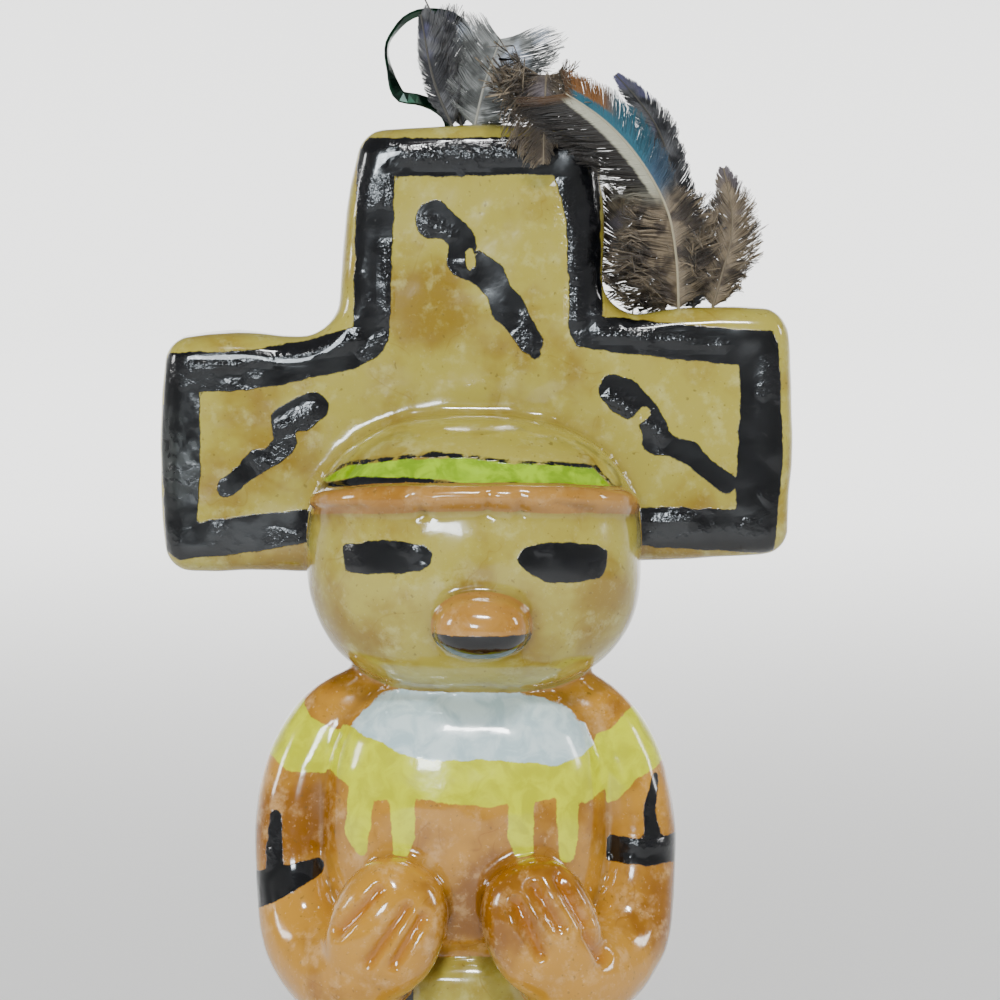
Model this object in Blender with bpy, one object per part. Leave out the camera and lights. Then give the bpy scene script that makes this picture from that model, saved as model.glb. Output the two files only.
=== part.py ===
"""A small kachina doll of painted and varnished salt dough, with a stepped headdress slab.

The lumps of dough were pressed together wet, on a tray, and baked as one piece with a flat back. A
flat wire loop and two bunches of feathers are stuck in the slab's top edges. The doll faces -Y, +X is
the viewer's right, +Z is up, and its low base stands on Z = 0. All sizes are in metres.
"""

import math

import bmesh
import bpy
from mathutils import Matrix, Vector

# Low base, an oval pad whose back is flush with the rest
BASE_WIDTH = 0.062
BASE_DEPTH = 0.050
BASE_HEIGHT = 0.008
BASE_EDGE = 0.0022

# Legs and moccasins
LEG_LENGTH = 0.0155
LEG_RADIUS = 0.0068
LEG_SPACING = 0.0205
FOOT_LENGTH = 0.025
FOOT_WIDTH = 0.0165
FOOT_HEIGHT = 0.0105

# Kilt, a short skirt that widens down to its hem
KILT_LENGTH = 0.0293
KILT_WAIST_WIDTH = 0.039
KILT_HEM_WIDTH = 0.049
KILT_DEPTH = 0.036
KILT_EDGE = 0.0025

# Barrel body, a little left of the slab's middle
TORSO_WIDTH = 0.0436
TORSO_DEPTH = 0.0350
TORSO_HEIGHT = 0.0448
TORSO_SQUARE = 2.8
BODY_X = -0.0010

# Arms. The route holds places along the arm's middle, as shares of the torso's half width, half depth
# and half height, and the arm's radius there as a share of ARM_RADIUS
ARM_RADIUS = 0.0058
ARM_ROUTE = (
    (0.50, -0.03, 0.84, 0.95),
    (0.85, -0.08, 0.68, 1.07),
    (1.05, -0.13, 0.40, 1.10),
    (1.16, -0.20, 0.00, 1.05),
    (1.16, -0.28, -0.40, 1.03),
    (1.08, -0.44, -0.75, 1.15),
    (0.86, -0.72, -0.93, 1.32),
    (0.66, -0.98, -0.88, 1.28),
    (0.54, -1.06, -0.66, 0.95),
)

# Hands, flattened pads on the belly, with three knife grooves between the fingers of each
HAND_WIDTH = 0.0168
HAND_LENGTH = 0.0210
HAND_THICK = 0.0130
HAND_PLACE = (0.52, -1.12, -0.61)
HAND_TURN = math.radians(22)
GROOVE_RADIUS = 0.00085
GROOVE_LENGTH = 0.0085
GROOVE_SPACING = 0.0036
GROOVE_SHIFT = 0.0010

# Head, a squarish ball, and its nose
HEAD_WIDTH = 0.0500
HEAD_DEPTH = 0.0400
HEAD_HEIGHT = 0.0412
HEAD_SQUARE = 2.5
HEAD_X = 0.0004
NOSE_WIDTH = 0.0140
NOSE_HEIGHT = 0.0098
NOSE_DEPTH = 0.0130
NOSE_SIDEWAYS = 0.0012
NOSE_BELOW_MIDDLE = 0.0090

# Headband, a thin roll pressed round the front of the head, lower at its ends
BAND_RADIUS = 0.0019
BAND_SINK_AT_ENDS = 0.0022
BAND_RISE = 0.0098
BAND_END_DROP = 0.0026
BAND_REACH = math.radians(86)

# Stepped slab behind the head, a wide lower block with a narrower block on top
SLAB_WIDTH = 0.0945
SLAB_HEIGHT = 0.0655
SLAB_THICK = 0.0130
SHOULDER_HEIGHT = 0.0366
BLOCK_WIDTH = 0.0402
BLOCK_TOP_WIDTH = 0.0358
BLOCK_X = -0.0003
BLOCK_TOP_X = 0.0010
SLAB_LEAN = 0.0028
SHOULDER_LEAN = 0.0046
SLAB_EDGE = 0.0035
SLAB_CORNER = 0.0044
SLAB_INNER_CORNER = 0.0055
SLAB_BULGE = 0.0006
SLAB_X = 0.0006
SLAB_BEHIND_HEAD = 0.0228

# Each lump is pressed this far into the next, and squashed this far flat on the tray's plane
PRESS = 0.0030
TRAY_Y = 0.0170
TRAY_SQUASH = 0.0020

# Quills and wire, in holes that the wet dough kept open round them
QUILL_RADIUS = 0.00045
VANE_THICK = 0.0005
WIRE_WIDTH = 0.0018
WIRE_THICK = 0.00045
CLEARANCE = 0.0003
HOLE_DEPTH = 0.0040

# Heights and depths that follow from the sizes above
HEM_Z = BASE_HEIGHT + LEG_LENGTH
WAIST_Z = HEM_Z + KILT_LENGTH
TORSO_Z = WAIST_Z - PRESS + TORSO_HEIGHT / 2
HEAD_Z = TORSO_Z + TORSO_HEIGHT / 2 - PRESS + HEAD_HEIGHT / 2
SLAB_Z = HEAD_Z + HEAD_HEIGHT / 2 - SLAB_BEHIND_HEAD
SHOULDER_Z = SLAB_Z + SHOULDER_HEIGHT
TOP_Z = SLAB_Z + SLAB_HEIGHT
BACK_Y = TRAY_Y + TRAY_SQUASH
TORSO_Y = BACK_Y - TORSO_DEPTH / 2
HEAD_Y = BACK_Y - HEAD_DEPTH / 2
SLAB_FRONT_Y = TRAY_Y - SLAB_THICK
SLAB_TOP_Y = SLAB_FRONT_Y + SLAB_THICK / 2

# Feathers. "place" is on the block's top, as a share of its half width from the middle, or on the
# right step, as a share of its width from the block outwards. "back" is a share of half the slab's
# thickness. Lengths, and the vane's widths left and right of the shaft, are shares of the longest
# feather. Each route runs from the hole to the tip in shares of its own length: sideways, back, up
FEATHER_LENGTH = 0.0400
FEATHERS = (
    dict(name="feather_top_left", step=False, place=-0.2235, back=-0.338, length=0.425,
         route=((0, 0, 0), (-0.13, 0, 0.30), (-0.20, -0.01, 0.55), (-0.245, -0.02, 0.80), (-0.275, -0.03, 0.975)),
         left=0.035, right=0.0425, vane=(0.08, 1.0), fullest=0.42),
    dict(name="feather_top_tall", step=False, place=-0.1453, back=0.092, length=0.4875,
         route=((0, 0, 0), (-0.06, 0.02, 0.33), (-0.14, 0.02, 0.62), (-0.20, 0.02, 0.80), (-0.285, 0, 0.985)),
         left=0.035, right=0.065, vane=(0.10, 0.72), fullest=0.55),
    dict(name="feather_top_plume", step=False, place=-0.0335, back=-0.277, length=0.34,
         route=((0, 0, 0), (0.09, 0, 0.40), (0.19, 0, 0.70), (0.28, 0.02, 0.96)),
         left=0.14, right=0.2375, vane=(0.02, 1.0), fullest=0.62),
    dict(name="feather_top_brown", step=False, place=0.5475, back=-0.646, length=0.4125,
         route=((0, 0, 0), (0.01, -0.03, 0.22), (0.02, -0.11, 0.42), (0.02, -0.25, 0.48), (0.01, -0.35, 0.36),
                (0, -0.37, 0.05), (-0.01, -0.365, -0.32)),
         left=0.06, right=0.06, vane=(0.10, 1.0), fullest=0.60),
    dict(name="feather_side_banded", step=True, place=0.4064, back=-0.215, length=1.0,
         route=((0, 0, 0), (-0.01, -0.06, 0.17), (-0.04, -0.13, 0.34), (-0.10, -0.19, 0.47), (-0.19, -0.22, 0.60),
                (-0.30, -0.235, 0.71), (-0.43, -0.24, 0.80)),
         left=0.15, right=0.095, vane=(0.10, 1.0), fullest=0.70, across=(0.7, 0, 0.7)),
    dict(name="feather_side_violet", step=True, place=0.4920, back=0.154, length=0.9625,
         route=((0, 0, 0), (-0.01, -0.01, 0.18), (-0.05, -0.02, 0.37), (-0.09, -0.03, 0.54), (-0.14, -0.04, 0.69),
                (-0.22, -0.05, 0.81), (-0.31, -0.055, 0.91)),
         left=0.065, right=0.0675, vane=(0.08, 1.0), fullest=0.52),
    dict(name="feather_side_short", step=True, place=0.5918, back=-0.185, length=0.5375,
         route=((0, 0, 0), (0.06, -0.01, 0.22), (0.12, -0.02, 0.45), (0.13, -0.03, 0.68), (0.07, -0.04, 0.97)),
         left=0.065, right=0.07, vane=(0.08, 1.0), fullest=0.42),
    dict(name="feather_side_down", step=True, place=0.3351, back=0.338, length=0.4875,
         route=((0, 0, 0), (-0.13, 0, 0.17), (-0.25, -0.01, 0.38), (-0.31, -0.02, 0.62), (-0.34, -0.03, 0.88)),
         left=0.065, right=0.085, vane=(0.12, 1.0), fullest=0.50),
)
FEATHER_STATIONS = 11
STEM_AT_TIP = 0.35

# Wire loop on the block's top, placed as the feathers are. Its route runs from the left hole over the
# top to the right hole: places sideways and up from the middle of the two holes as shares of the
# loop's height, and how far the flat wire is turned there
LOOP_PLACE = -0.123
LOOP_BACK = 0.492
LOOP_HEIGHT = 0.0174
LOOP_ROUTE = (
    (-0.14, 0.00, 30),
    (-0.17, 0.10, 50),
    (-0.28, 0.19, 65),
    (-0.42, 0.24, 75),
    (-0.55, 0.26, 88),
    (-0.61, 0.35, 70),
    (-0.65, 0.49, 25),
    (-0.68, 0.62, 8),
    (-0.67, 0.73, 8),
    (-0.61, 0.83, 15),
    (-0.52, 0.93, 30),
    (-0.40, 0.99, 30),
    (-0.27, 1.00, 30),
    (-0.15, 0.98, 40),
    (-0.05, 0.92, 50),
    (0.03, 0.81, 55),
    (0.09, 0.68, 50),
    (0.13, 0.45, 40),
    (0.15, 0.20, 30),
    (0.15, 0.00, 30),
)


def clear_scene():
    for obj in list(bpy.data.objects):
        bpy.data.objects.remove(obj, do_unlink=True)


def new_collection(name):
    collection = bpy.data.collections.new(name)
    bpy.context.scene.collection.children.link(collection)
    return collection


def new_material(name, colour, roughness, metallic=0.0):
    material = bpy.data.materials.new(name)
    material.use_nodes = True
    shader = material.node_tree.nodes["Principled BSDF"]
    shader.inputs["Base Color"].default_value = (*colour, 1.0)
    shader.inputs["Roughness"].default_value = roughness
    shader.inputs["Metallic"].default_value = metallic
    return material


def object_from(bm, name, collection):
    """An object with this bmesh as its mesh: outward faces, and flat ones, which a Boolean cuts cleanly."""
    bmesh.ops.recalc_face_normals(bm, faces=bm.faces)
    bmesh.ops.triangulate(bm, faces=bm.faces)
    mesh = bpy.data.meshes.new(name)
    bm.to_mesh(mesh)
    bm.free()
    mesh.shade_smooth()
    obj = bpy.data.objects.new(name, mesh)
    collection.objects.link(obj)
    return obj


def make_helper(obj):
    obj.hide_render = True
    obj.display_type = "WIRE"
    return obj


def mesh_from_curve(curve_obj, collection):
    """Turns a curve object into a closed mesh helper, with its caps welded on."""
    graph = bpy.context.evaluated_depsgraph_get()
    mesh = bpy.data.meshes.new_from_object(curve_obj.evaluated_get(graph))
    mesh.transform(curve_obj.matrix_world)
    name = curve_obj.name
    bpy.data.objects.remove(curve_obj, do_unlink=True)
    bm = bmesh.new()
    bm.from_mesh(mesh)
    bmesh.ops.remove_doubles(bm, verts=bm.verts, dist=0.00001)
    return make_helper(object_from(bm, name, collection))


def smooth_route(places, steps):
    """Places on a smooth curve through the given ones, which may carry a radius or a turn as well."""
    count = len(places)
    found = []
    for index in range(count - 1):
        before, start, end, after = (places[min(max(index + k, 0), count - 1)] for k in (-1, 0, 1, 2))
        for step in range(steps):
            t = step / steps
            found.append(tuple(
                0.5 * (2 * b + (c - a) * t + (2 * a - 5 * b + 4 * c - d) * t ** 2 + (3 * b - a - 3 * c + d) * t ** 3)
                for a, b, c, d in zip(before, start, end, after)
            ))
    found.append(tuple(places[-1]))
    return found


def ball(name, centre, size, square, collection, segments=28, rings=16, turn=0.0):
    """A squarish ball of dough: square 2 is an ellipsoid, and more is boxier. It turns about Y."""
    bm = bmesh.new()
    bmesh.ops.create_uvsphere(bm, u_segments=segments, v_segments=rings, radius=1.0)
    half = Vector(size) / 2
    place = Matrix.Translation(centre) @ Matrix.Rotation(turn, 4, "Y")
    for vert in bm.verts:
        reach = sum(abs(part) ** square for part in vert.co) ** (-1 / square)
        vert.co = place @ Vector(part * reach * side for part, side in zip(vert.co, half))
    return make_helper(object_from(bm, name, collection))


def tube(name, route, radius, collection, resolution=3):
    """A roll of dough along a route of places, each with its share of the radius."""
    data = bpy.data.curves.new(name, "CURVE")
    data.dimensions = "3D"
    data.bevel_depth = radius
    data.bevel_resolution = resolution
    data.use_fill_caps = True
    spline = data.splines.new("POLY")
    spline.points.add(len(route) - 1)
    for point, (x, y, z, share) in zip(spline.points, route):
        point.co = (x, y, z, 1.0)
        point.radius = share
    obj = bpy.data.objects.new(name, data)
    collection.objects.link(obj)
    bpy.context.view_layer.update()
    return mesh_from_curve(obj, collection)


def flat_shape(name, outline, thickness, edge, place, collection, resolution=2):
    """A flat slab of dough with this outline and soft edges, moved by the matrix."""
    data = bpy.data.curves.new(name, "CURVE")
    data.dimensions = "2D"
    data.fill_mode = "BOTH"
    data.extrude = thickness / 2 - edge
    data.bevel_depth = edge
    data.bevel_resolution = resolution
    data.offset = -edge
    spline = data.splines.new("POLY")
    spline.points.add(len(outline) - 1)
    spline.use_cyclic_u = True
    for point, (x, y) in zip(spline.points, outline):
        point.co = (x, y, 0.0, 1.0)
    obj = bpy.data.objects.new(name, data)
    obj.matrix_world = place
    collection.objects.link(obj)
    bpy.context.view_layer.update()
    return mesh_from_curve(obj, collection)


def loft(name, sections, collection):
    """A closed solid through sections that have the same number of points."""
    bm = bmesh.new()
    rings = [[bm.verts.new(point) for point in section] for section in sections]
    for ring, following in zip(rings, rings[1:]):
        for index in range(len(ring)):
            after = (index + 1) % len(ring)
            bm.faces.new((ring[index], ring[after], following[after], following[index]))
    bm.faces.new(list(reversed(rings[0])))
    bm.faces.new(rings[-1])
    return object_from(bm, name, collection)


def rounded_outline(corners, bulge, arc_steps=4, side_steps=3):
    """An outline through corners (x, z, radius), each rounded by an arc, with sides that bulge a little."""
    arcs = []
    for index, (x, z, radius) in enumerate(corners):
        corner = Vector((x, z))
        back = (Vector(corners[index - 1][:2]) - corner).normalized()
        ahead = (Vector(corners[(index + 1) % len(corners)][:2]) - corner).normalized()
        half_angle = back.angle(ahead) / 2
        middle = corner + (back + ahead).normalized() * radius / math.sin(half_angle)
        start = corner + back * radius / math.tan(half_angle) - middle
        end = corner + ahead * radius / math.tan(half_angle) - middle
        sweep = start.angle_signed(end)
        arcs.append([
            middle + Matrix.Rotation(-sweep * step / arc_steps, 2) @ start for step in range(arc_steps + 1)
        ])
    outline = []
    for index, arc in enumerate(arcs):
        outline += [tuple(point) for point in arc]
        start, end = arc[-1], arcs[(index + 1) % len(arcs)][0]
        outward = Vector((end.y - start.y, start.x - end.x)).normalized() * bulge
        for step in range(1, side_steps):
            share = step / side_steps
            outline.append(tuple(start.lerp(end, share) + outward * math.sin(math.pi * share)))
    return outline


def slab_outline():
    """The stepped outline, from the lower left corner round by the right. Its left end sits lower."""
    half = SLAB_WIDTH / 2
    block = BLOCK_WIDTH / 2
    top = BLOCK_TOP_WIDTH / 2
    drop = SLAB_LEAN / 2
    shoulder_drop = SHOULDER_LEAN / 2
    notch_drop = shoulder_drop * block / half
    outer, inner = SLAB_CORNER, SLAB_INNER_CORNER
    corners = (
        (SLAB_X - half, SLAB_Z - drop, outer),
        (SLAB_X + half, SLAB_Z + drop, outer),
        (SLAB_X + half, SHOULDER_Z + shoulder_drop, outer),
        (BLOCK_X + block, SHOULDER_Z + notch_drop, inner),
        (BLOCK_TOP_X + top, TOP_Z, outer),
        (BLOCK_TOP_X - top, TOP_Z, outer),
        (BLOCK_X - block, SHOULDER_Z - notch_drop, inner),
        (SLAB_X - half, SHOULDER_Z - shoulder_drop, outer),
    )
    return rounded_outline(corners, SLAB_BULGE)


def slab_top(x, y):
    """The height of the slab's upper surface at this place."""
    outline = slab_outline()
    heights = []
    for (x0, z0), (x1, z1) in zip(outline, outline[1:] + outline[:1]):
        if min(x0, x1) <= x <= max(x0, x1) and x0 != x1:
            heights.append(z0 + (z1 - z0) * (x - x0) / (x1 - x0))
    inset = max(SLAB_EDGE - (y - SLAB_FRONT_Y), 0.0)
    return max(heights) - (SLAB_EDGE - math.sqrt(SLAB_EDGE ** 2 - inset ** 2))


def on_head(angle, z, proud=0.0):
    """A place on the head at this height, at an angle round it from the front towards +X."""
    rise = abs(2 * (z - HEAD_Z) / HEAD_HEIGHT) ** HEAD_SQUARE
    across, ahead = math.sin(angle), math.cos(angle)
    reach = ((1 - rise) / (abs(across) ** HEAD_SQUARE + ahead ** HEAD_SQUARE)) ** (1 / HEAD_SQUARE)
    return (
        HEAD_X + across * (reach * HEAD_WIDTH / 2 + proud),
        HEAD_Y - ahead * (reach * HEAD_DEPTH / 2 + proud),
        z,
    )


def make_slab(collection):
    thickness = SLAB_THICK + TRAY_SQUASH
    upright = Matrix.Translation((0, SLAB_FRONT_Y + thickness / 2, 0)) @ Matrix.Rotation(math.pi / 2, 4, "X")
    return flat_shape("slab", slab_outline(), thickness, SLAB_EDGE, upright, collection)


def make_head(collection):
    return ball("head", (HEAD_X, HEAD_Y, HEAD_Z), (HEAD_WIDTH, HEAD_DEPTH, HEAD_HEIGHT), HEAD_SQUARE,
                collection, segments=34, rings=18)


def make_nose(collection):
    z = HEAD_Z - NOSE_BELOW_MIDDLE
    place = on_head(math.asin(NOSE_SIDEWAYS / (HEAD_WIDTH / 2)), z)
    return ball("nose", place, (NOSE_WIDTH, NOSE_DEPTH, NOSE_HEIGHT), 2.2, collection, segments=18, rings=10)


def make_headband(collection, steps=22):
    route = []
    for step in range(steps + 1):
        angle = BAND_REACH * (2 * step / steps - 1)
        away = (angle / BAND_REACH) ** 2
        z = HEAD_Z + BAND_RISE - BAND_END_DROP * away
        route.append((*on_head(angle, z, BAND_RADIUS * 0.2 - BAND_SINK_AT_ENDS * away ** 2), 1.0))
    return tube("headband", route, BAND_RADIUS, collection, resolution=2)


def make_torso(collection):
    return ball("torso", (BODY_X, TORSO_Y, TORSO_Z), (TORSO_WIDTH, TORSO_DEPTH, TORSO_HEIGHT), TORSO_SQUARE,
                collection, segments=30, rings=16)


def beside_torso(share, side):
    """A place given as shares of the torso's half width, half depth and half height, on one side."""
    return Vector((
        BODY_X + side * share[0] * TORSO_WIDTH / 2,
        TORSO_Y + share[1] * TORSO_DEPTH / 2,
        TORSO_Z + share[2] * TORSO_HEIGHT / 2,
    ))


def make_arm(label, side, collection):
    places = [(*beside_torso(stop, side), stop[3]) for stop in ARM_ROUTE]
    return tube(f"arm_{label}", smooth_route(places, 2), ARM_RADIUS, collection)


def make_hand(label, side, collection):
    centre = beside_torso(HAND_PLACE, side)
    return ball(f"hand_{label}", centre, (HAND_WIDTH, HAND_THICK, HAND_LENGTH), 2.3, collection,
                segments=20, rings=12, turn=-side * HAND_TURN)


def make_groove(label, side, number, collection, steps=4):
    """One knife groove along the hand's front, deepest in its middle."""
    centre = beside_torso(HAND_PLACE, side)
    turn = Matrix.Rotation(-side * HAND_TURN, 4, "Y")
    across = side * (number - 1) * GROOVE_SPACING
    route = []
    for step in range(steps + 1):
        share = 2 * step / steps - 1
        along = share * GROOVE_LENGTH / 2 + GROOVE_SHIFT * (number - 1)
        flat = (2 * across / HAND_WIDTH) ** 2 + (2 * along / HAND_LENGTH) ** 2
        front = -HAND_THICK / 2 * math.sqrt(max(1 - flat, 0.0))
        place = centre + turn @ Vector((across, front - GROOVE_RADIUS * 0.1, along))
        route.append((*place, 1.0 - 0.6 * share ** 2))
    return tube(f"groove_{label}_{number + 1}", route, GROOVE_RADIUS, collection, resolution=1)


def make_kilt(collection):
    bm = bmesh.new()
    bmesh.ops.create_cone(bm, cap_ends=True, segments=32, radius1=KILT_HEM_WIDTH / 2,
                          radius2=KILT_WAIST_WIDTH / 2, depth=KILT_LENGTH)
    flat = KILT_DEPTH / KILT_HEM_WIDTH
    place = Matrix.Translation((BODY_X, BACK_Y - KILT_DEPTH / 2, HEM_Z + KILT_LENGTH / 2))
    bmesh.ops.transform(bm, matrix=place @ Matrix.Diagonal((1.0, flat, 1.0, 1.0)), verts=bm.verts)
    rims = [edge for edge in bm.edges if abs(edge.verts[0].co.z - edge.verts[1].co.z) < KILT_EDGE / 2]
    bmesh.ops.bevel(bm, geom=rims, offset=KILT_EDGE, segments=2, profile=0.5, affect="EDGES")
    return make_helper(object_from(bm, "kilt", collection))


def make_leg(label, side, collection):
    bm = bmesh.new()
    length = LEG_LENGTH + 2 * PRESS
    bmesh.ops.create_cone(bm, cap_ends=True, segments=20, radius1=LEG_RADIUS, radius2=LEG_RADIUS, depth=length)
    place = Matrix.Translation((BODY_X + side * LEG_SPACING / 2, BACK_Y - KILT_DEPTH / 2, HEM_Z + PRESS - length / 2))
    bmesh.ops.transform(bm, matrix=place, verts=bm.verts)
    return make_helper(object_from(bm, f"leg_{label}", collection))


def make_foot(label, side, collection):
    heel_y = BACK_Y - KILT_DEPTH / 2 + LEG_RADIUS
    centre = (BODY_X + side * LEG_SPACING / 2, heel_y - FOOT_LENGTH / 2, BASE_HEIGHT - PRESS + FOOT_HEIGHT / 2)
    return ball(f"foot_{label}", centre, (FOOT_WIDTH, FOOT_LENGTH, FOOT_HEIGHT), 2.4, collection,
                segments=16, rings=10)


def make_base(collection, steps=32):
    outline = []
    for step in range(steps):
        angle = 2 * math.pi * step / steps
        outline.append((BASE_WIDTH / 2 * math.cos(angle), BASE_DEPTH / 2 * math.sin(angle)))
    place = Matrix.Translation((BODY_X, BACK_Y + TRAY_SQUASH - BASE_DEPTH / 2, BASE_HEIGHT / 2))
    return flat_shape("base", outline, BASE_HEIGHT, BASE_EDGE, place, collection, resolution=1)


def make_tray(collection):
    """The space behind the tray's plane, where no dough can be."""
    bm = bmesh.new()
    bmesh.ops.create_cube(bm, size=1.0)
    size = 3 * TOP_Z
    place = Matrix.Translation((0, TRAY_Y + size / 2, TOP_Z / 2)) @ Matrix.Scale(size, 4)
    bmesh.ops.transform(bm, matrix=place, verts=bm.verts)
    return make_helper(object_from(bm, "tray", collection))


def make_hole(name, mouth, direction, radius, collection, sides=8):
    """A round hole into the slab's top, with its mouth here, along a quill or a wire."""
    above = 3 * CLEARANCE
    bm = bmesh.new()
    round_radius = radius / math.cos(math.pi / sides)
    bmesh.ops.create_cone(bm, cap_ends=True, segments=sides, radius1=round_radius, radius2=round_radius,
                          depth=HOLE_DEPTH + above)
    upright = Matrix.Translation((0, 0, (above - HOLE_DEPTH) / 2))
    turn = Vector((0, 0, 1)).rotation_difference(direction).to_matrix().to_4x4()
    bmesh.ops.transform(bm, matrix=Matrix.Translation(mouth) @ turn @ upright, verts=bm.verts)
    return make_helper(object_from(bm, f"hole_{name}", collection))


def on_top(place, back, step=False):
    """A place on the slab's top, on its narrow block or on its right step."""
    if step:
        block_end = BLOCK_X + BLOCK_WIDTH / 2
        x = block_end + place * (SLAB_X + SLAB_WIDTH / 2 - block_end)
    else:
        x = BLOCK_TOP_X + place * BLOCK_TOP_WIDTH / 2
    y = SLAB_TOP_Y + back * SLAB_THICK / 2
    return Vector((x, y, slab_top(x, y)))


def feather_route(feather):
    """Places along the shaft from the hole's mouth to the tip, and the quill's direction at the mouth."""
    mouth = on_top(feather["place"], feather["back"], feather["step"])
    length = feather["length"] * FEATHER_LENGTH
    places = [mouth + length * Vector(share) for share in feather["route"]]
    shaft = [Vector(place) for place in smooth_route([tuple(place) for place in places], 4)]
    return shaft, (shaft[1] - shaft[0]).normalized()


def make_feather(feather, collection):
    """A closed thin solid: the quill in its hole, then the vane with the shaft as a ridge on each face."""
    shaft, direction = feather_route(feather)
    stations = []
    for step in range(FEATHER_STATIONS):
        place = step / (FEATHER_STATIONS - 1) * (len(shaft) - 1)
        index = min(int(place), len(shaft) - 2)
        stations.append((shaft[index].lerp(shaft[index + 1], place - index), (shaft[index + 1] - shaft[index]).normalized()))
    hint = Vector(feather.get("across", (1, 0, 0)))
    start, end = feather["vane"]
    power = math.log(0.5) / math.log(feather["fullest"])
    sections = []
    for step, (middle, along) in enumerate([(shaft[0] - direction * (HOLE_DEPTH - CLEARANCE), direction)] + stations):
        share = max(step - 1, 0) / (FEATHER_STATIONS - 1)
        stem = QUILL_RADIUS * (1 - (1 - STEM_AT_TIP) * share)
        across = (hint - along * hint.dot(along)).normalized()
        face = across.cross(along)
        inside = min(max((share - start) / (end - start), 0.0), 1.0)
        spread = math.sin(math.pi * inside ** power) ** 0.7 if 0 < inside < 1 else 0.0
        left = max(feather["left"] * FEATHER_LENGTH * spread, stem)
        right = max(feather["right"] * FEATHER_LENGTH * spread, stem)
        web = min(VANE_THICK / 2, stem * 0.7)
        sections.append([
            middle - across * left,
            middle - across * stem * 0.7 + face * web,
            middle + face * stem,
            middle + across * stem * 0.7 + face * web,
            middle + across * right,
            middle + across * stem * 0.7 - face * web,
            middle - face * stem,
            middle - across * stem * 0.7 - face * web,
        ])
    return loft(feather["name"], sections, collection)


def loop_places():
    foot = on_top(LOOP_PLACE, LOOP_BACK)
    places = [
        (foot.x + across * LOOP_HEIGHT, foot.y, foot.z + up * LOOP_HEIGHT, math.radians(turn))
        for across, up, turn in LOOP_ROUTE
    ]
    return smooth_route(places, 2)


def make_loop(collection):
    """The flat wire: six-sided sections that turn about the wire's own middle."""
    places = loop_places()
    ends = [loop_foot(places, 0), loop_foot(places, -1)]
    places = [(*ends[0], places[0][3])] + places + [(*ends[1], places[-1][3])]
    sections = []
    for index, (x, y, z, turn) in enumerate(places):
        before, after = places[max(index - 1, 0)], places[min(index + 1, len(places) - 1)]
        along = (Vector(after[:3]) - Vector(before[:3])).normalized()
        sideways = Vector((0, 1, 0)).cross(along)
        broad = Vector((0, 1, 0)) * math.cos(turn) + sideways * math.sin(turn)
        thin = broad.cross(along)
        middle = Vector((x, y, z))
        shoulder = WIRE_WIDTH / 2 - WIRE_THICK / 2
        sections.append([
            middle + broad * across + thin * up
            for across, up in (
                (WIRE_WIDTH / 2, 0), (shoulder, WIRE_THICK / 2), (-shoulder, WIRE_THICK / 2),
                (-WIRE_WIDTH / 2, 0), (-shoulder, -WIRE_THICK / 2), (shoulder, -WIRE_THICK / 2),
            )
        ])
    return loft("hanging_loop", sections, collection)


def loop_direction(places, end):
    """The way that the wire leaves its hole at this end of the loop."""
    following = places[1] if end == 0 else places[-2]
    return (Vector(following[:3]) - Vector(places[end][:3])).normalized()


def loop_foot(places, end):
    """The wire's own end, down in its hole."""
    return Vector(places[end][:3]) - loop_direction(places, end) * (HOLE_DEPTH - CLEARANCE)


def make_holes(collection):
    for feather in FEATHERS:
        shaft, direction = feather_route(feather)
        make_hole(feather["name"], shaft[0], direction, QUILL_RADIUS + CLEARANCE, collection)
    places = loop_places()
    for label, end in (("wire_left", 0), ("wire_right", -1)):
        mouth = Vector(places[end][:3])
        make_hole(label, mouth, loop_direction(places, end), WIRE_WIDTH / 2 + CLEARANCE, collection)


def add_boolean(obj, collection, operation):
    """Joins every solid of the collection to the object in one step, or cuts them all out of it."""
    modifier = obj.modifiers.new(f"{operation.lower()}_{collection.name}", "BOOLEAN")
    modifier.operand_type = "COLLECTION"
    modifier.collection = collection
    modifier.operation = operation


def make_figure(parts, lumps, cutters):
    """The baked dough: every lump joined to the torso, then the flat back, the grooves and the holes."""
    torso = make_torso(parts)
    figure = bpy.data.objects.new("figure", torso.data)
    bpy.data.objects.remove(torso, do_unlink=True)
    parts.objects.link(figure)
    make_slab(lumps)
    make_head(lumps)
    make_headband(lumps)
    make_nose(lumps)
    make_kilt(lumps)
    make_base(lumps)
    make_tray(cutters)
    for label, side in (("left", -1), ("right", 1)):
        make_arm(label, side, lumps)
        make_hand(label, side, lumps)
        make_leg(label, side, lumps)
        make_foot(label, side, lumps)
        for number in range(3):
            make_groove(label, side, number, cutters)
    make_holes(cutters)
    add_boolean(figure, lumps, "UNION")
    add_boolean(figure, cutters, "DIFFERENCE")
    return figure


def main():
    clear_scene()
    parts = new_collection("kachina_doll")
    lumps = new_collection("lumps")
    cutters = new_collection("cutters")
    dough = new_material("painted_dough", (0.48, 0.36, 0.17), 0.15)
    wire = new_material("green_wire", (0.02, 0.10, 0.05), 0.2, 0.8)
    down = new_material("grey_feather", (0.16, 0.14, 0.12), 0.7)
    make_figure(parts, lumps, cutters).data.materials.append(dough)
    make_loop(parts).data.materials.append(wire)
    for feather in FEATHERS:
        make_feather(feather, parts).data.materials.append(down)


main()
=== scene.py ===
# %% [markdown]
# # A kachina doll of painted salt dough
# The doll was made as a child or a craft maker would make it. Lumps of soft dough were pressed
# together on a tray and baked hard, then painted with brushes, and then flooded with clear gloss
# varnish. Feathers and a loop of flat green wire were pushed into the wet dough.
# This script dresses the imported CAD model, which gives every true size, so it starts by loading that.

import math

import bmesh
import bpy
import numpy as np
from mathutils import Matrix, Vector, noise


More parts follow.
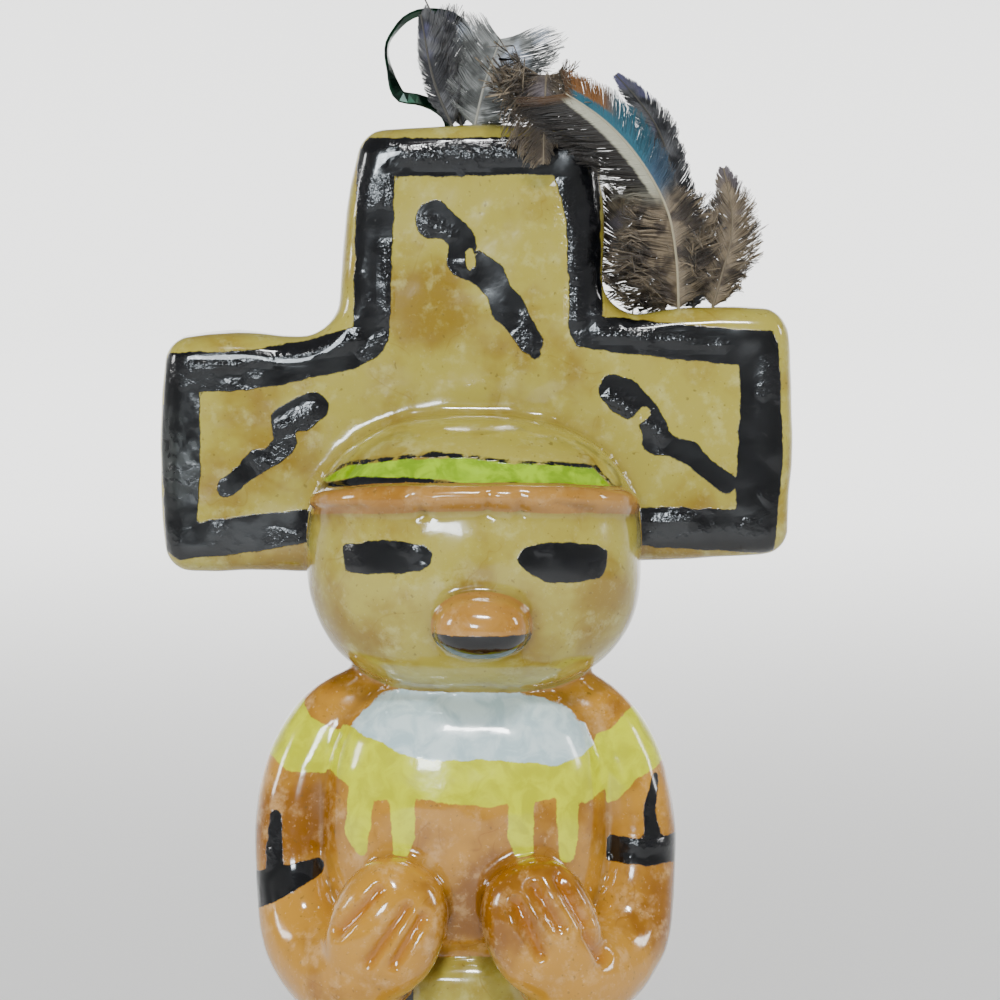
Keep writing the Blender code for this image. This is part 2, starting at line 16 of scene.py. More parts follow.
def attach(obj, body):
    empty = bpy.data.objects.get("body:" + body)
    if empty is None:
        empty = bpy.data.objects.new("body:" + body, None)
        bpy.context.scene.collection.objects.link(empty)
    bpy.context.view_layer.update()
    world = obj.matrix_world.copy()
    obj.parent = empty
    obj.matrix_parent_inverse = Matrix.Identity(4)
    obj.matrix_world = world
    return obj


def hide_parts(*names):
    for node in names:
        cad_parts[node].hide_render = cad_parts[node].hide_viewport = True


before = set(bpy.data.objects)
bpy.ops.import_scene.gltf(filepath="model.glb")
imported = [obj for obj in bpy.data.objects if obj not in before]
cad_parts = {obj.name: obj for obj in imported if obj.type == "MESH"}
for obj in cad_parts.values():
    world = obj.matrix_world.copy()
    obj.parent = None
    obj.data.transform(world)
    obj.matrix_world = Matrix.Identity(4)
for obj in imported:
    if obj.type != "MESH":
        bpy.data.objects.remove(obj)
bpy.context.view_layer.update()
scene = bpy.context.scene
collection = scene.collection
MM = 0.001

print("nodes:", ", ".join(sorted(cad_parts)))

# %% [markdown]
# The photograph was taken from straight in front and slightly above, from an arm's length away, so a
# long lens stands 0.6 m from the doll and looks down by 4 degrees. The frame cuts the doll off at the
# top of its kilt, as in the photograph.

# %% Camera at the photograph's viewing angle
CAMERA_TARGET = Vector((0.0042, 0.0020, 0.1200))
CAMERA_DISTANCE = 0.600
CAMERA_ABOVE = math.radians(4)

camera_data = bpy.data.cameras.new("camera")
camera_data.lens = 144
camera_data.sensor_width = 36
camera_data.clip_start = 0.01
camera_data.clip_end = 20
camera = bpy.data.objects.new("camera", camera_data)
backwards = Vector((0, -math.cos(CAMERA_ABOVE), math.sin(CAMERA_ABOVE)))
camera.location = CAMERA_TARGET + backwards * CAMERA_DISTANCE
camera.rotation_euler = (-backwards).to_track_quat("-Z", "Y").to_euler()
collection.objects.link(camera)
scene.camera = camera
print("camera at", [round(c, 4) for c in camera.location])

# %% [markdown]
# The floor is a wide, shallow bowl, as in a product studio: it curves up far away, so no horizon
# crosses the picture from any side.


# %% Floor
def mesh_object(name, points, faces):
    mesh = bpy.data.meshes.new(name)
    mesh.from_pydata(points, [], faces)
    mesh.shade_smooth()
    obj = bpy.data.objects.new(name, mesh)
    collection.objects.link(obj)
    return obj


def plain_material(name, colour, roughness):
    material = bpy.data.materials.new(name)
    material.use_nodes = True
    shader = material.node_tree.nodes["Principled BSDF"]
    shader.inputs["Base Color"].default_value = (*colour, 1)
    shader.inputs["Roughness"].default_value = roughness
    return material


BOWL_PROFILE = ((0.0001, 0.0), (0.6, 0.0), (1.6, 0.0), (2.2, 0.08), (2.7, 0.35), (3.0, 0.80), (3.1, 1.40))
BOWL_SIDES = 96
bowl_points = []
bowl_faces = []
for ring, (radius, height) in enumerate(BOWL_PROFILE):
    for side in range(BOWL_SIDES):
        angle = 2 * math.pi * side / BOWL_SIDES
        bowl_points.append((radius * math.cos(angle), radius * math.sin(angle), height))
        if ring:
            after = (side + 1) % BOWL_SIDES
            low = (ring - 1) * BOWL_SIDES
            bowl_faces.append((low + side, low + after, low + BOWL_SIDES + after, low + BOWL_SIDES + side))
floor = mesh_object("floor", bowl_points, bowl_faces)
floor.data.materials.append(plain_material("floor_paint", (0.90, 0.90, 0.89), 0.7))
print("floor radius in m:", BOWL_PROFILE[-1][0])

# %% [markdown]
# The light is a bright sky dome with soft boxes. Thick varnish mirrors them, so their places are read
# from the highlights: one small window high in front puts the bright patch on the forehead, and
# boxes at the left, right and above run along the rounded edges of the slab and the body. A wide
# box behind the doll only whitens the backdrop.

# %% Lights
SKY_STRENGTH = 0.24
world = bpy.data.worlds.new("studio")
world.use_nodes = True
world.node_tree.nodes["Background"].inputs["Color"].default_value = (1.0, 1.0, 1.0, 1)
world.node_tree.nodes["Background"].inputs["Strength"].default_value = SKY_STRENGTH
scene.world = world


def soft_box(name, place, width, height, power, aim=(0, 0, 0.11)):
    data = bpy.data.lights.new(name, "AREA")
    data.shape = "RECTANGLE"
    data.size = width
    data.size_y = height
    data.energy = power
    light = bpy.data.objects.new(name, data)
    light.location = place
    light.rotation_euler = (Vector(aim) - Vector(place)).to_track_quat("-Z", "Y").to_euler()
    collection.objects.link(light)
    return light


window = soft_box("window", (-0.165, -1.00, 0.325), 0.20, 0.14, 4.4)
window.data.color = (0.84, 0.93, 1.0)
soft_box("left_box", (-0.82, -0.16, 0.35), 0.12, 0.24, 2.2)
soft_box("right_box", (0.82, -0.10, 0.40), 0.10, 0.30, 2.0)
soft_box("top_box", (0.04, -0.64, 0.76), 0.14, 0.10, 5.2)
soft_box("backdrop_box", (0.0, 1.30, 1.50), 2.40, 0.50, 95.0, aim=(0, 2.70, 0.20))

# %% [markdown]
# The figure is one baked solid, but it began as separate lumps. They are made here again at the CAD's
# sizes, with far more points: squarish balls for the head, body, hands and feet, rolls for the arms
# and the headband, and a flat slab with a stepped outline. All sizes below repeat the CAD's.

# %% Sizes of the lumps
BASE_SIZE = (62.0, 50.0, 8.0)
BASE_EDGE = 2.2
BASE_PAST_BACK = 2
KILT_WAIST = 39.0
KILT_HEM = 49.0
KILT_DEPTH = 36.0
KILT_LENGTH = 29.3
HEM_Z = 23.5
TORSO_SIZE = (43.6, 35.0, 44.8)
TORSO_PLACE = (-1.0, 1.5, 72.2)
HEAD_SIZE = (50.0, 40.0, 41.2)
HEAD_PLACE = (0.4, -1.0, 112.2)
NOSE_SIZE = (14.0, 13.0, 9.8)
NOSE_PLACE = (1.6, -20.1, 103.2)
TRAY_Y = 17.0
BACK_Y = 19.0
SLAB_Z = 110.0
SHOULDER_Z = 146.6
TOP_Z = 175.5
SLAB_FRONT_Y = 4.0
SLAB_EDGE = 3.5
HAND_SIZE = (16.8, 13.0, 21.0)
HAND_TURN = math.radians(22)
LEG_SPACING = 20.5
LEG_RADIUS = 6.8
LEG_STOPS = (HEM_Z + 3, 14, 9)
FOOT_SIZE = (16.5, 25.0, 10.5)
FOOT_UNDERSIDE_Z = 5
# How square each ball is: 2 is a plain ball, and more is squarer
HEAD_SQUARE = 2.5
NOSE_SQUARE = 2.2
TORSO_SQUARE = 2.8
HAND_SQUARE = 2.3
FOOT_SQUARE = 2.4
BAND_RADIUS = 1.9
ARM_RADIUS = 5.8
# Places along an arm as shares of the body's half width, half depth and half height, and the arm's
# radius there as a share of ARM_RADIUS
ARM_ROUTE = (
    (0.50, -0.03, 0.84, 0.95),
    (0.85, -0.08, 0.68, 1.07),
    (1.05, -0.13, 0.40, 1.10),
    (1.16, -0.20, 0.00, 1.05),
    (1.16, -0.28, -0.40, 1.03),
    (1.08, -0.44, -0.75, 1.15),
    (0.86, -0.72, -0.93, 1.32),
    (0.66, -0.98, -0.88, 1.28),
    (0.54, -1.06, -0.66, 0.95),
)
HAND_SHARE = (0.52, -1.12, -0.61)
print("lumps: slab, head, nose, headband, body, 2 arms, 2 hands, kilt, 2 legs, 2 feet, base")


# %% [markdown]
# Each lump is a distance rule: it says how far a point is outside that lump. The rules shape the
# lumps, and later they also tell the paint where one lump ends and the next begins.


# %% Distance rules in mm
def ball_distance(points, centre, size, square, turn=0.0):
    """About how far the points are outside a squarish ball, which may be turned about Y."""
    rel = points - np.array(centre)
    if turn:
        cos, sin = math.cos(turn), math.sin(turn)
        across = rel[:, 0] * cos - rel[:, 2] * sin
        up = rel[:, 0] * sin + rel[:, 2] * cos
        rel = np.stack([across, rel[:, 1], up], axis=1)
    half = np.array(size) / 2
    reach = (np.abs(rel / half) ** square).sum(axis=1) ** (1 / square)
    length = np.linalg.norm(rel, axis=1)
    return length * (1 - 1 / np.maximum(reach, 1e-6))


def route_distance(points, route):
    """How far the points are outside a roll along a route of places that end in their radius."""
    best = np.full(len(points), 1e9)
    size = len(route[0]) - 1
    for start, end in zip(route, route[1:]):
        a, b = np.array(start[:size]), np.array(end[:size])
        line = b - a
        share = np.clip(((points[:, :size] - a) @ line) / max(line @ line, 1e-9), 0, 1)
        near = a + share[:, None] * line
        radius = start[size] + (end[size] - start[size]) * share
        best = np.minimum(best, np.linalg.norm(points[:, :size] - near, axis=1) - radius)
    return best


def outline_distance(flat, outline):
    """How far flat points (x, z) are outside a closed outline. Inside it the distance is negative."""
    best = np.full(len(flat), 1e9)
    inside = np.zeros(len(flat), bool)
    for (x0, z0), (x1, z1) in zip(outline, outline[1:] + outline[:1]):
        line = np.array((x1 - x0, z1 - z0))
        rel = flat - (x0, z0)
        share = np.clip((rel @ line) / max(line @ line, 1e-9), 0, 1)
        best = np.minimum(best, np.linalg.norm(rel - share[:, None] * line, axis=1))
        crosses = (z0 > flat[:, 1]) != (z1 > flat[:, 1])
        slope = (x1 - x0) / (z1 - z0) if z1 != z0 else 0.0
        inside ^= crosses & (flat[:, 0] < x0 + slope * (flat[:, 1] - z0))
    return np.where(inside, -best, best)


def smooth_route(places, steps):
    """Places on a smooth curve through the given ones."""
    count = len(places)
    found = []
    for index in range(count - 1):
        p = [np.array(places[min(max(index + k, 0), count - 1)], float) for k in (-1, 0, 1, 2)]
        for step in range(steps):
            t = step / steps
            place = 0.5 * (
                2 * p[1] + (p[2] - p[0]) * t
                + (2 * p[0] - 5 * p[1] + 4 * p[2] - p[3]) * t ** 2
                + (3 * p[1] - p[0] - 3 * p[2] + p[3]) * t ** 3
            )
            found.append(tuple(float(c) for c in place))
    found.append(tuple(float(c) for c in places[-1]))
    return found


def beside_body(shares, side):
    """A place given in shares of the body's half sizes, on its left (-1) or right (1)."""
    parts = zip(TORSO_PLACE, (side, 1, 1), shares, TORSO_SIZE)
    return tuple(middle + sign * share * size / 2 for middle, sign, share, size in parts)


arm_routes = {
    side: smooth_route([(*beside_body(stop, side), stop[3] * ARM_RADIUS) for stop in ARM_ROUTE], 5)
    for side in (-1, 1)
}
hand_places = {side: beside_body(HAND_SHARE, side) for side in (-1, 1)}


def on_head(angle, z, proud=0.0):
    """A place on the head at this height, at an angle round it from the front towards +X."""
    rise = abs(2 * (z - HEAD_PLACE[2]) / HEAD_SIZE[2]) ** HEAD_SQUARE
    across, ahead = math.sin(angle), math.cos(angle)
    reach = ((1 - rise) / (abs(across) ** HEAD_SQUARE + abs(ahead) ** HEAD_SQUARE)) ** (1 / HEAD_SQUARE)
    return (
        HEAD_PLACE[0] + across * (reach * HEAD_SIZE[0] / 2 + proud),
        HEAD_PLACE[1] - ahead * (reach * HEAD_SIZE[1] / 2 + proud),
        z,
    )


BAND_STEPS = 40
BAND_REACH = math.radians(86)
BAND_PROUD = BAND_RADIUS * 0.2
BAND_SUNK_AT_ENDS = 2.2
BAND_ABOVE_HEAD_MIDDLE = 9.8
BAND_DROOP = 2.6
band_route = []
for step in range(BAND_STEPS + 1):
    turn = 2 * step / BAND_STEPS - 1
    sunk = BAND_PROUD - BAND_SUNK_AT_ENDS * turn ** 4
    height = HEAD_PLACE[2] + BAND_ABOVE_HEAD_MIDDLE - BAND_DROOP * turn ** 2
    band_route.append((*on_head(BAND_REACH * turn, height, sunk), BAND_RADIUS))
arm_length = sum(math.dist(a[:3], b[:3]) for a, b in zip(arm_routes[1], arm_routes[1][1:]))
print("arm length in mm:", round(arm_length))


# %% [markdown]
# The slab was cut from a rolled sheet of dough as a wide block with a narrower block on top. Its
# corners went round as the knife dragged, its left end sagged a little, and its sides swelled.


# %% Slab outline
def rounded_outline(corners, bulge, arc_steps=8, side_steps=10):
    """An outline through corners (x, z, radius), each rounded by an arc, with sides that bulge a little."""
    arcs = []
    for index, (x, z, radius) in enumerate(corners):
        corner = Vector((x, z))
        back = (Vector(corners[index - 1][:2]) - corner).normalized()
        ahead = (Vector(corners[(index + 1) % len(corners)][:2]) - corner).normalized()
        half_angle = back.angle(ahead) / 2
        middle = corner + (back + ahead).normalized() * radius / math.sin(half_angle)
        start = corner + back * radius / math.tan(half_angle) - middle
        end = corner + ahead * radius / math.tan(half_angle) - middle
        sweep = start.angle_signed(end)
        turns = [Matrix.Rotation(-sweep * step / arc_steps, 2) for step in range(arc_steps + 1)]
        arcs.append([middle + turn @ start for turn in turns])
    outline = []
    for index, arc in enumerate(arcs):
        outline += [tuple(point) for point in arc]
        start, end = arc[-1], arcs[(index + 1) % len(arcs)][0]
        outward = Vector((end.y - start.y, start.x - end.x)).normalized() * bulge
        for step in range(1, side_steps):
            share = step / side_steps
            outline.append(tuple(start.lerp(end, share) + outward * math.sin(math.pi * share)))
    return outline


SLAB_CORNERS = (
    (-46.65, SLAB_Z - 1.4, 4.4),
    (47.85, SLAB_Z + 1.4, 4.4),
    (47.85, SHOULDER_Z + 2.3, 4.4),
    (19.8, SHOULDER_Z + 0.98, 5.5),
    (18.9, TOP_Z, 4.4),
    (-16.9, TOP_Z, 4.4),
    (-20.4, SHOULDER_Z - 0.98, 5.5),
    (-46.65, SHOULDER_Z - 2.3, 4.4),
)
SIDE_BULGE = 0.6
slab_outline = rounded_outline(SLAB_CORNERS, SIDE_BULGE)
print("slab outline points:", len(slab_outline))


# %% [markdown]
# Every lump is one of three shapes: a squarish ball, a roll along a route, or a stack of flat outlines.


# %% Meshes for balls, rolls and layers
def ball_mesh(bm, centre, size, square, turn=0.0, segments=96, rings=56):
    new = bmesh.ops.create_uvsphere(bm, u_segments=segments, v_segments=rings, radius=1.0)["verts"]
    half = [side / 2 for side in size]
    place = Matrix.Translation(centre) @ Matrix.Rotation(turn, 4, "Y")
    for vert in new:
        reach = sum(abs(part) ** square for part in vert.co) ** (-1 / square)
        vert.co = place @ Vector([part * reach * side for part, side in zip(vert.co, half)])


def layered_mesh(bm, outlines):
    """A closed solid through flat outlines, each a list of 3-D points, with flat ends."""
    loops = [[bm.verts.new(point) for point in outline] for outline in outlines]
    count = len(loops[0])
    for loop, following in zip(loops, loops[1:]):
        for index in range(count):
            after = (index + 1) % count
            bm.faces.new((loop[index], loop[after], following[after], following[index]))
    bm.faces.new(list(reversed(loops[0])))
    bm.faces.new(loops[-1])


CAP_TURNS = (0.45, 0.9, 1.4)


def round_cap(ring, way):
    """Ever smaller rings that round an end of a roll off, forwards (1) or backwards (-1)."""
    middle, along, across, other, radius = ring
    return [
        (middle + way * along * radius * math.sin(turn), along, across, other, radius * math.cos(turn))
        for turn in CAP_TURNS
    ]


def roll_mesh(bm, route, sides=28):
    """A closed roll through the route's places, with round ends."""
    rings = []
    places = [Vector(stop[:3]) for stop in route]
    side_way = None
    for index, stop in enumerate(route):
        along = (places[min(index + 1, len(places) - 1)] - places[max(index - 1, 0)]).normalized()
        if side_way is None:
            side_way = along.orthogonal()
        side_way = (side_way - along * side_way.dot(along)).normalized()
        other = along.cross(side_way)
        rings.append((places[index], along, side_way.copy(), other, stop[3]))
    rings = round_cap(rings[0], -1)[::-1] + rings + round_cap(rings[-1], 1)
    angles = [2 * math.pi * side / sides for side in range(sides)]
    layered_mesh(bm, [
        [middle + radius * (across * math.cos(angle) + other * math.sin(angle)) for angle in angles]
        for middle, along, across, other, radius in rings
    ])


def inset_outline(outline, amount):
    """The outline moved inwards by this much."""
    found = []
    for index, (x, z) in enumerate(outline):
        before, after = outline[index - 1], outline[(index + 1) % len(outline)]
        along = Vector((after[0] - before[0], after[1] - before[1])).normalized()
        found.append((x - along.y * amount, z + along.x * amount))
    return found


def rounded_layers(outline, start, end, edge, steps=5):
    """Insets and depths from start to end, with both edges rounded."""
    layers = []
    for side, depth in ((1, start), (-1, end)):
        turns = [math.pi / 2 * step / steps for step in range(steps + 1)]
        for turn in turns if side == 1 else reversed(turns):
            layers.append((edge * (1 - math.sin(turn)), depth + side * edge * (1 - math.cos(turn))))
    return [(inset_outline(outline, inset), depth) for inset, depth in layers]


print("edge of the slab in mm:", SLAB_EDGE)

# %% [markdown]
# The lumps go into one mesh, overlapping as the wet dough was pressed together. The kilt is a stack
# of ovals, and so is the low base that the feet stand on.

# %% The lumps
bm = bmesh.new()
ball_mesh(bm, HEAD_PLACE, HEAD_SIZE, HEAD_SQUARE)
ball_mesh(bm, NOSE_PLACE, NOSE_SIZE, NOSE_SQUARE, segments=64, rings=40)
ball_mesh(bm, TORSO_PLACE, TORSO_SIZE, TORSO_SQUARE)
roll_mesh(bm, band_route)
for side in (-1, 1):
    roll_mesh(bm, arm_routes[side])
    ball_mesh(bm, hand_places[side], HAND_SIZE, HAND_SQUARE, turn=-side * HAND_TURN)
    leg_x = TORSO_PLACE[0] + side * LEG_SPACING / 2
    leg_y = BACK_Y - KILT_DEPTH / 2
    roll_mesh(bm, [(leg_x, leg_y, z, LEG_RADIUS) for z in LEG_STOPS])
    foot_place = (leg_x, leg_y + LEG_RADIUS - FOOT_SIZE[1] / 2, FOOT_UNDERSIDE_Z + FOOT_SIZE[2] / 2)
    ball_mesh(bm, foot_place, FOOT_SIZE, FOOT_SQUARE)
slab_layers = rounded_layers(slab_outline, SLAB_FRONT_Y, BACK_Y, SLAB_EDGE)
layered_mesh(bm, [[(x, y, z) for x, z in outline] for outline, y in slab_layers])

OVAL_STEPS = 96
# Shares of the kilt's height, and how far its rounded ends are set in there
KILT_STOPS = ((0.0, 2.5), (0.02, 1.0), (0.08, 0.0), (0.5, 0.0), (0.92, 0.0), (0.98, 1.0), (1.0, 2.5))


def oval(width, depth, y):
    angles = [2 * math.pi * step / OVAL_STEPS for step in range(OVAL_STEPS)]
    return [
        (TORSO_PLACE[0] + width / 2 * math.cos(angle), y + depth / 2 * math.sin(angle)) for angle in angles
    ]


kilt_rings = []
for share, inset in KILT_STOPS:
    width = KILT_HEM + (KILT_WAIST - KILT_HEM) * share - 2 * inset
    ring = oval(width, width * (KILT_DEPTH / KILT_HEM), BACK_Y - KILT_DEPTH / 2)
    kilt_rings.append([(x, y, HEM_Z + KILT_LENGTH * share) for x, y in ring])
layered_mesh(bm, kilt_rings)
base_outline = oval(BASE_SIZE[0], BASE_SIZE[1], BACK_Y + BASE_PAST_BACK - BASE_SIZE[1] / 2)
base_layers = rounded_layers(base_outline, 0.0, BASE_SIZE[2], BASE_EDGE)
layered_mesh(bm, [[(x, y, z) for x, y in outline] for outline, z in base_layers])
bmesh.ops.recalc_face_normals(bm, faces=bm.faces)
lumps_mesh = bpy.data.meshes.new("figure_dough")
bm.to_mesh(lumps_mesh)
bm.free()
figure = bpy.data.objects.new("figure_dough", lumps_mesh)
collection.objects.link(figure)
print("points before the lumps are fused:", len(lumps_mesh.vertices))

# %% [markdown]
# A fine voxel remesh fuses the lumps into one skin, and a few smoothing steps fill the creases, as
# wet dough and thick varnish do.

# %% Fuse the lumps
VOXEL = 0.70
SMOOTHING_STEPS = 5
fuse = figure.modifiers.new("fuse", "REMESH")
fuse.mode = "VOXEL"
fuse.voxel_size = VOXEL
soften = figure.modifiers.new("soften", "SMOOTH")
soften.factor = 0.5
soften.iterations = SMOOTHING_STEPS
bpy.context.view_layer.update()
fused = bpy.data.meshes.new_from_object(figure.evaluated_get(bpy.context.evaluated_depsgraph_get()))
figure.modifiers.clear()
figure.data = fused
fused.name = "figure_dough"
bpy.data.meshes.remove(lumps_mesh)
print("points after:", len(fused.vertices), "faces:", len(fused.polygons))

# %% [markdown]
# Dough keeps the marks of hands. Slow, shallow waves make the varnish's mirror images wander, a knife
# pressed three or four grooves into each hand, the headband cracked as it dried, and the left
# shoulder of the slab sagged a little. The back is flat where the tray was.


# %% Hand marks in the dough
def read_points(mesh):
    flat = np.empty(len(mesh.vertices) * 3)
    mesh.vertices.foreach_get("co", flat)
    return flat.reshape(-1, 3)


def read_normals(mesh):
    flat = np.empty(len(mesh.vertices) * 3)
    mesh.vertex_normals.foreach_get("vector", flat)
    return flat.reshape(-1, 3)


def noise_at(points, size, seed):
    """Smooth noise from -1 to 1, whose lumps are about this many mm wide."""
    shift = Vector((seed * 7.3, seed * 3.1, seed * 5.7))
    return np.array([noise.noise(Vector(point) / size + shift) for point in points])


GROOVES = (
    ((-13.4, 65.3), (-19.4, 59.1)),
    ((-9.2, 62.7), (-14.8, 54.8)),
    ((-6.8, 61.2), (-11.1, 54.4)),
    ((6.5, 63.3), (10.1, 55.9)),
    ((9.1, 65.5), (12.9, 59.8)),
    ((12.9, 66.8), (16.9, 60.2)),
    ((17.2, 58.6), (19.4, 54.6)),
)
# Cracks across and along the headband, where the dough dried
BAND_CRACKS = (
    ((-24.0, 119.4), (-15.5, 120.2)),
    ((-8.2, 122.0), (-6.6, 119.0)),
    ((2.5, 122.6), (2.2, 118.8)),
    ((7.0, 122.4), (7.3, 118.4)),
    ((12.0, 121.0), (17.5, 119.8)),
)
CRACK_DEPTH = 0.55
CRACK_WIDTH = 0.5
GROOVE_DEPTH = 1.3
GROOVE_WIDTH = 0.85
HANDS_FRONT_Y = -15
HANDS_TOP_Z = 72
WAVE_DEPTH = 0.28
WAVE_SIZE = 11.0
DENT_DEPTH = 0.10
DENT_SIZE = 4.0
SHOULDER_SAG = 1.2
SAG_X = -28
SAG_WIDTH = 7
SAG_FROM_Z = 134
SAG_GROWS_OVER = 8
SAG_BELOW_Z = 150
points = read_points(fused)
normals = read_normals(fused)
move = WAVE_DEPTH * noise_at(points, WAVE_SIZE, 1) + DENT_DEPTH * noise_at(points, DENT_SIZE, 2)
on_hands = (points[:, 1] < HANDS_FRONT_Y) & (points[:, 2] < HANDS_TOP_Z)


def cut_share(lines, width, where):
    """One in the middle of the cuts, falling off softly to nothing, and only where it is allowed."""
    gaps = [route_distance(points[:, [0, 2]], [(*start, 0), (*end, 0)]) for start, end in lines]
    return np.where(where, np.exp(-(np.minimum.reduce(gaps) / width) ** 2), 0)


groove = cut_share(GROOVES, GROOVE_WIDTH, on_hands)
on_band = (np.abs(route_distance(points, band_route)) < 1.0) & (points[:, 1] < 0)
crack = cut_share(BAND_CRACKS, CRACK_WIDTH, on_band)
move -= GROOVE_DEPTH * groove
move -= CRACK_DEPTH * crack
points += normals * move[:, None]
sag = np.exp(-((points[:, 0] - SAG_X) / SAG_WIDTH) ** 2)
sag *= np.clip((points[:, 2] - SAG_FROM_Z) / SAG_GROWS_OVER, 0, 1)
points[:, 2] -= SHOULDER_SAG * np.where(points[:, 2] < SAG_BELOW_Z, sag, 0)
points[:, 1] = np.minimum(points[:, 1], TRAY_Y)
points[:, 2] = np.maximum(points[:, 2], 0)
print("deepest mark in mm:", round(float(-move.min()), 2))

# %% [markdown]
# The paint is thin, so it is only colour. Every painted shape is drawn as a distance in mm from its
# edge, negative inside, and the material turns that into a hard but wandering brush edge. Paint
# stops where one lump meets the next, so this cell first finds how far each point is from each lump.

# %% Where each lump is
flat = points[:, [0, 2]]
head = ball_distance(points, HEAD_PLACE, HEAD_SIZE, HEAD_SQUARE)
nose = ball_distance(points, NOSE_PLACE, NOSE_SIZE, NOSE_SQUARE)
body = ball_distance(points, TORSO_PLACE, TORSO_SIZE, TORSO_SQUARE)
band = route_distance(points, band_route)
arms = np.full(len(points), 1e9)
for side in (-1, 1):
    hand = ball_distance(points, hand_places[side], HAND_SIZE, HAND_SQUARE, turn=-side * HAND_TURN)
    arms = np.minimum.reduce([arms, hand, route_distance(points, arm_routes[side])])
slab = np.maximum(outline_distance(flat, slab_outline), SLAB_FRONT_Y - points[:, 1])
above_hem = points[:, 2] - HEM_Z
kilt_y = points[:, 1] - BACK_Y + KILT_DEPTH / 2
kilt_reach = np.hypot(points[:, 0] - TORSO_PLACE[0], kilt_y * KILT_HEM / KILT_DEPTH)
kilt_radius = KILT_HEM / 2 - (KILT_HEM - KILT_WAIST) / 2 * above_hem / KILT_LENGTH
kilt = np.maximum(kilt_reach - kilt_radius, np.maximum(above_hem - KILT_LENGTH, -above_hem))
base = np.maximum(points[:, 2] - BASE_SIZE[2], 0)
legs = np.where(above_hem < 0.5, np.clip(1.5 - base, 0, None), 1e3)
UNPAINTED = 9.0


def painted(shape, lump, others, back_y=None):
    """The shape, but only where this lump is nearer than the others, and in front of a place along Y."""
    kept = np.maximum(shape, lump - np.minimum.reduce(others))
    return kept if back_y is None else np.where(points[:, 1] < back_y, kept, UNPAINTED)


def nearest(rule, shapes):
    """How far the points are outside the nearest of these routes or outlines."""
    return np.minimum.reduce([rule(flat, shape) for shape in shapes])


print("share of the points on the slab:", round(float((np.abs(slab) < 0.5).mean()), 3))

# %% [markdown]
# The slab has a thick black border and three squiggles, each one stroke of a loaded brush that was
# pressed down several times. The places here and below are read from the photograph and given in
# mm, sideways and up, with the brush's radius as a third number where a stroke has one.

# %% Border and squiggles
SLAB_PAINT_Y = SLAB_FRONT_Y + 2.6
BORDER_OUTSIDE = [
    (-17.0, 174.1), (16.2, 174.4), (18.6, 172.0), (19.2, 164.0), (19.7, 147.5), (30.6, 146.3),
    (45.3, 145.3), (46.0, 143.0), (46.9, 127.4), (45.6, 111.6), (25.0, 112.9), (-24.4, 113.5),
    (-30.8, 112.3), (-44.0, 110.8), (-46.3, 112.0), (-47.2, 136.0), (-45.9, 142.0), (-33.8, 142.4),
    (-24.6, 143.9), (-17.9, 146.0), (-17.5, 159.7),
]
BORDER_INSIDE = [
    (-11.5, 168.3), (12.3, 168.8), (13.9, 162.6), (14.4, 155.0), (14.6, 145.0), (15.6, 142.9),
    (27.2, 141.4), (40.1, 140.2), (40.3, 134.9), (39.6, 118.5), (26.2, 118.8), (-25.5, 118.5),
    (-34.0, 117.5), (-41.3, 116.5), (-40.8, 127.4), (-40.9, 136.1), (-33.8, 136.4), (-28.1, 137.3),
    (-23.4, 138.5), (-17.7, 139.6), (-13.8, 141.7), (-12.5, 143.8), (-12.0, 155.0),
]
SQUIGGLES = (
    ((-5.5, 161.8, 3.0), (-3.4, 160.8, 2.0), (-1.4, 159.1, 1.9), (-1.6, 155.8, 2.3), (1.0, 154.6, 2.4),
     (2.8, 153.4, 2.4), (4.0, 151.0, 1.9), (5.3, 148.7, 2.6), (7.3, 146.0, 2.0), (8.8, 143.6, 1.9),
     (9.5, 141.9, 0.9)),
    ((-23.9, 133.9, 2.3), (-25.6, 132.9, 2.6), (-28.8, 132.2, 1.5), (-28.1, 128.6, 1.7), (-30.2, 126.4, 1.5),
     (-32.2, 125.7, 1.9), (-34.4, 123.9, 1.4), (-36.9, 121.7, 1.5)),
    ((21.3, 136.4, 2.4), (23.0, 135.3, 2.8), (25.6, 133.2, 2.3), (27.5, 131.0, 1.8), (27.6, 128.8, 2.1),
     (30.6, 127.8, 1.5), (32.8, 127.0, 1.9), (35.0, 124.8, 1.4), (38.2, 122.3, 1.6)),
)
# Small islands that the turns of the strokes left open
ISLANDS = (((-0.3, 157.2, 0.6), (-0.2, 155.1, 0.7)), ((24.8, 131.8, 0.7), (26.0, 133.0, 0.9)))
border = np.maximum(outline_distance(flat, BORDER_OUTSIDE), -outline_distance(flat, BORDER_INSIDE))
squiggle = np.maximum(nearest(route_distance, SQUIGGLES), -nearest(route_distance, ISLANDS))
slab_black = painted(np.minimum(border, squiggle), slab, [head, body, arms, band], SLAB_PAINT_Y)
print("share of the points under the border and squiggles:", round(float((slab_black < 0).mean()), 3))

# %% [markdown]
# The face has two blunt black eyes, a lime stripe with a black rim over the headband, and the lower
# half of the nose in black, which stands for the mouth.

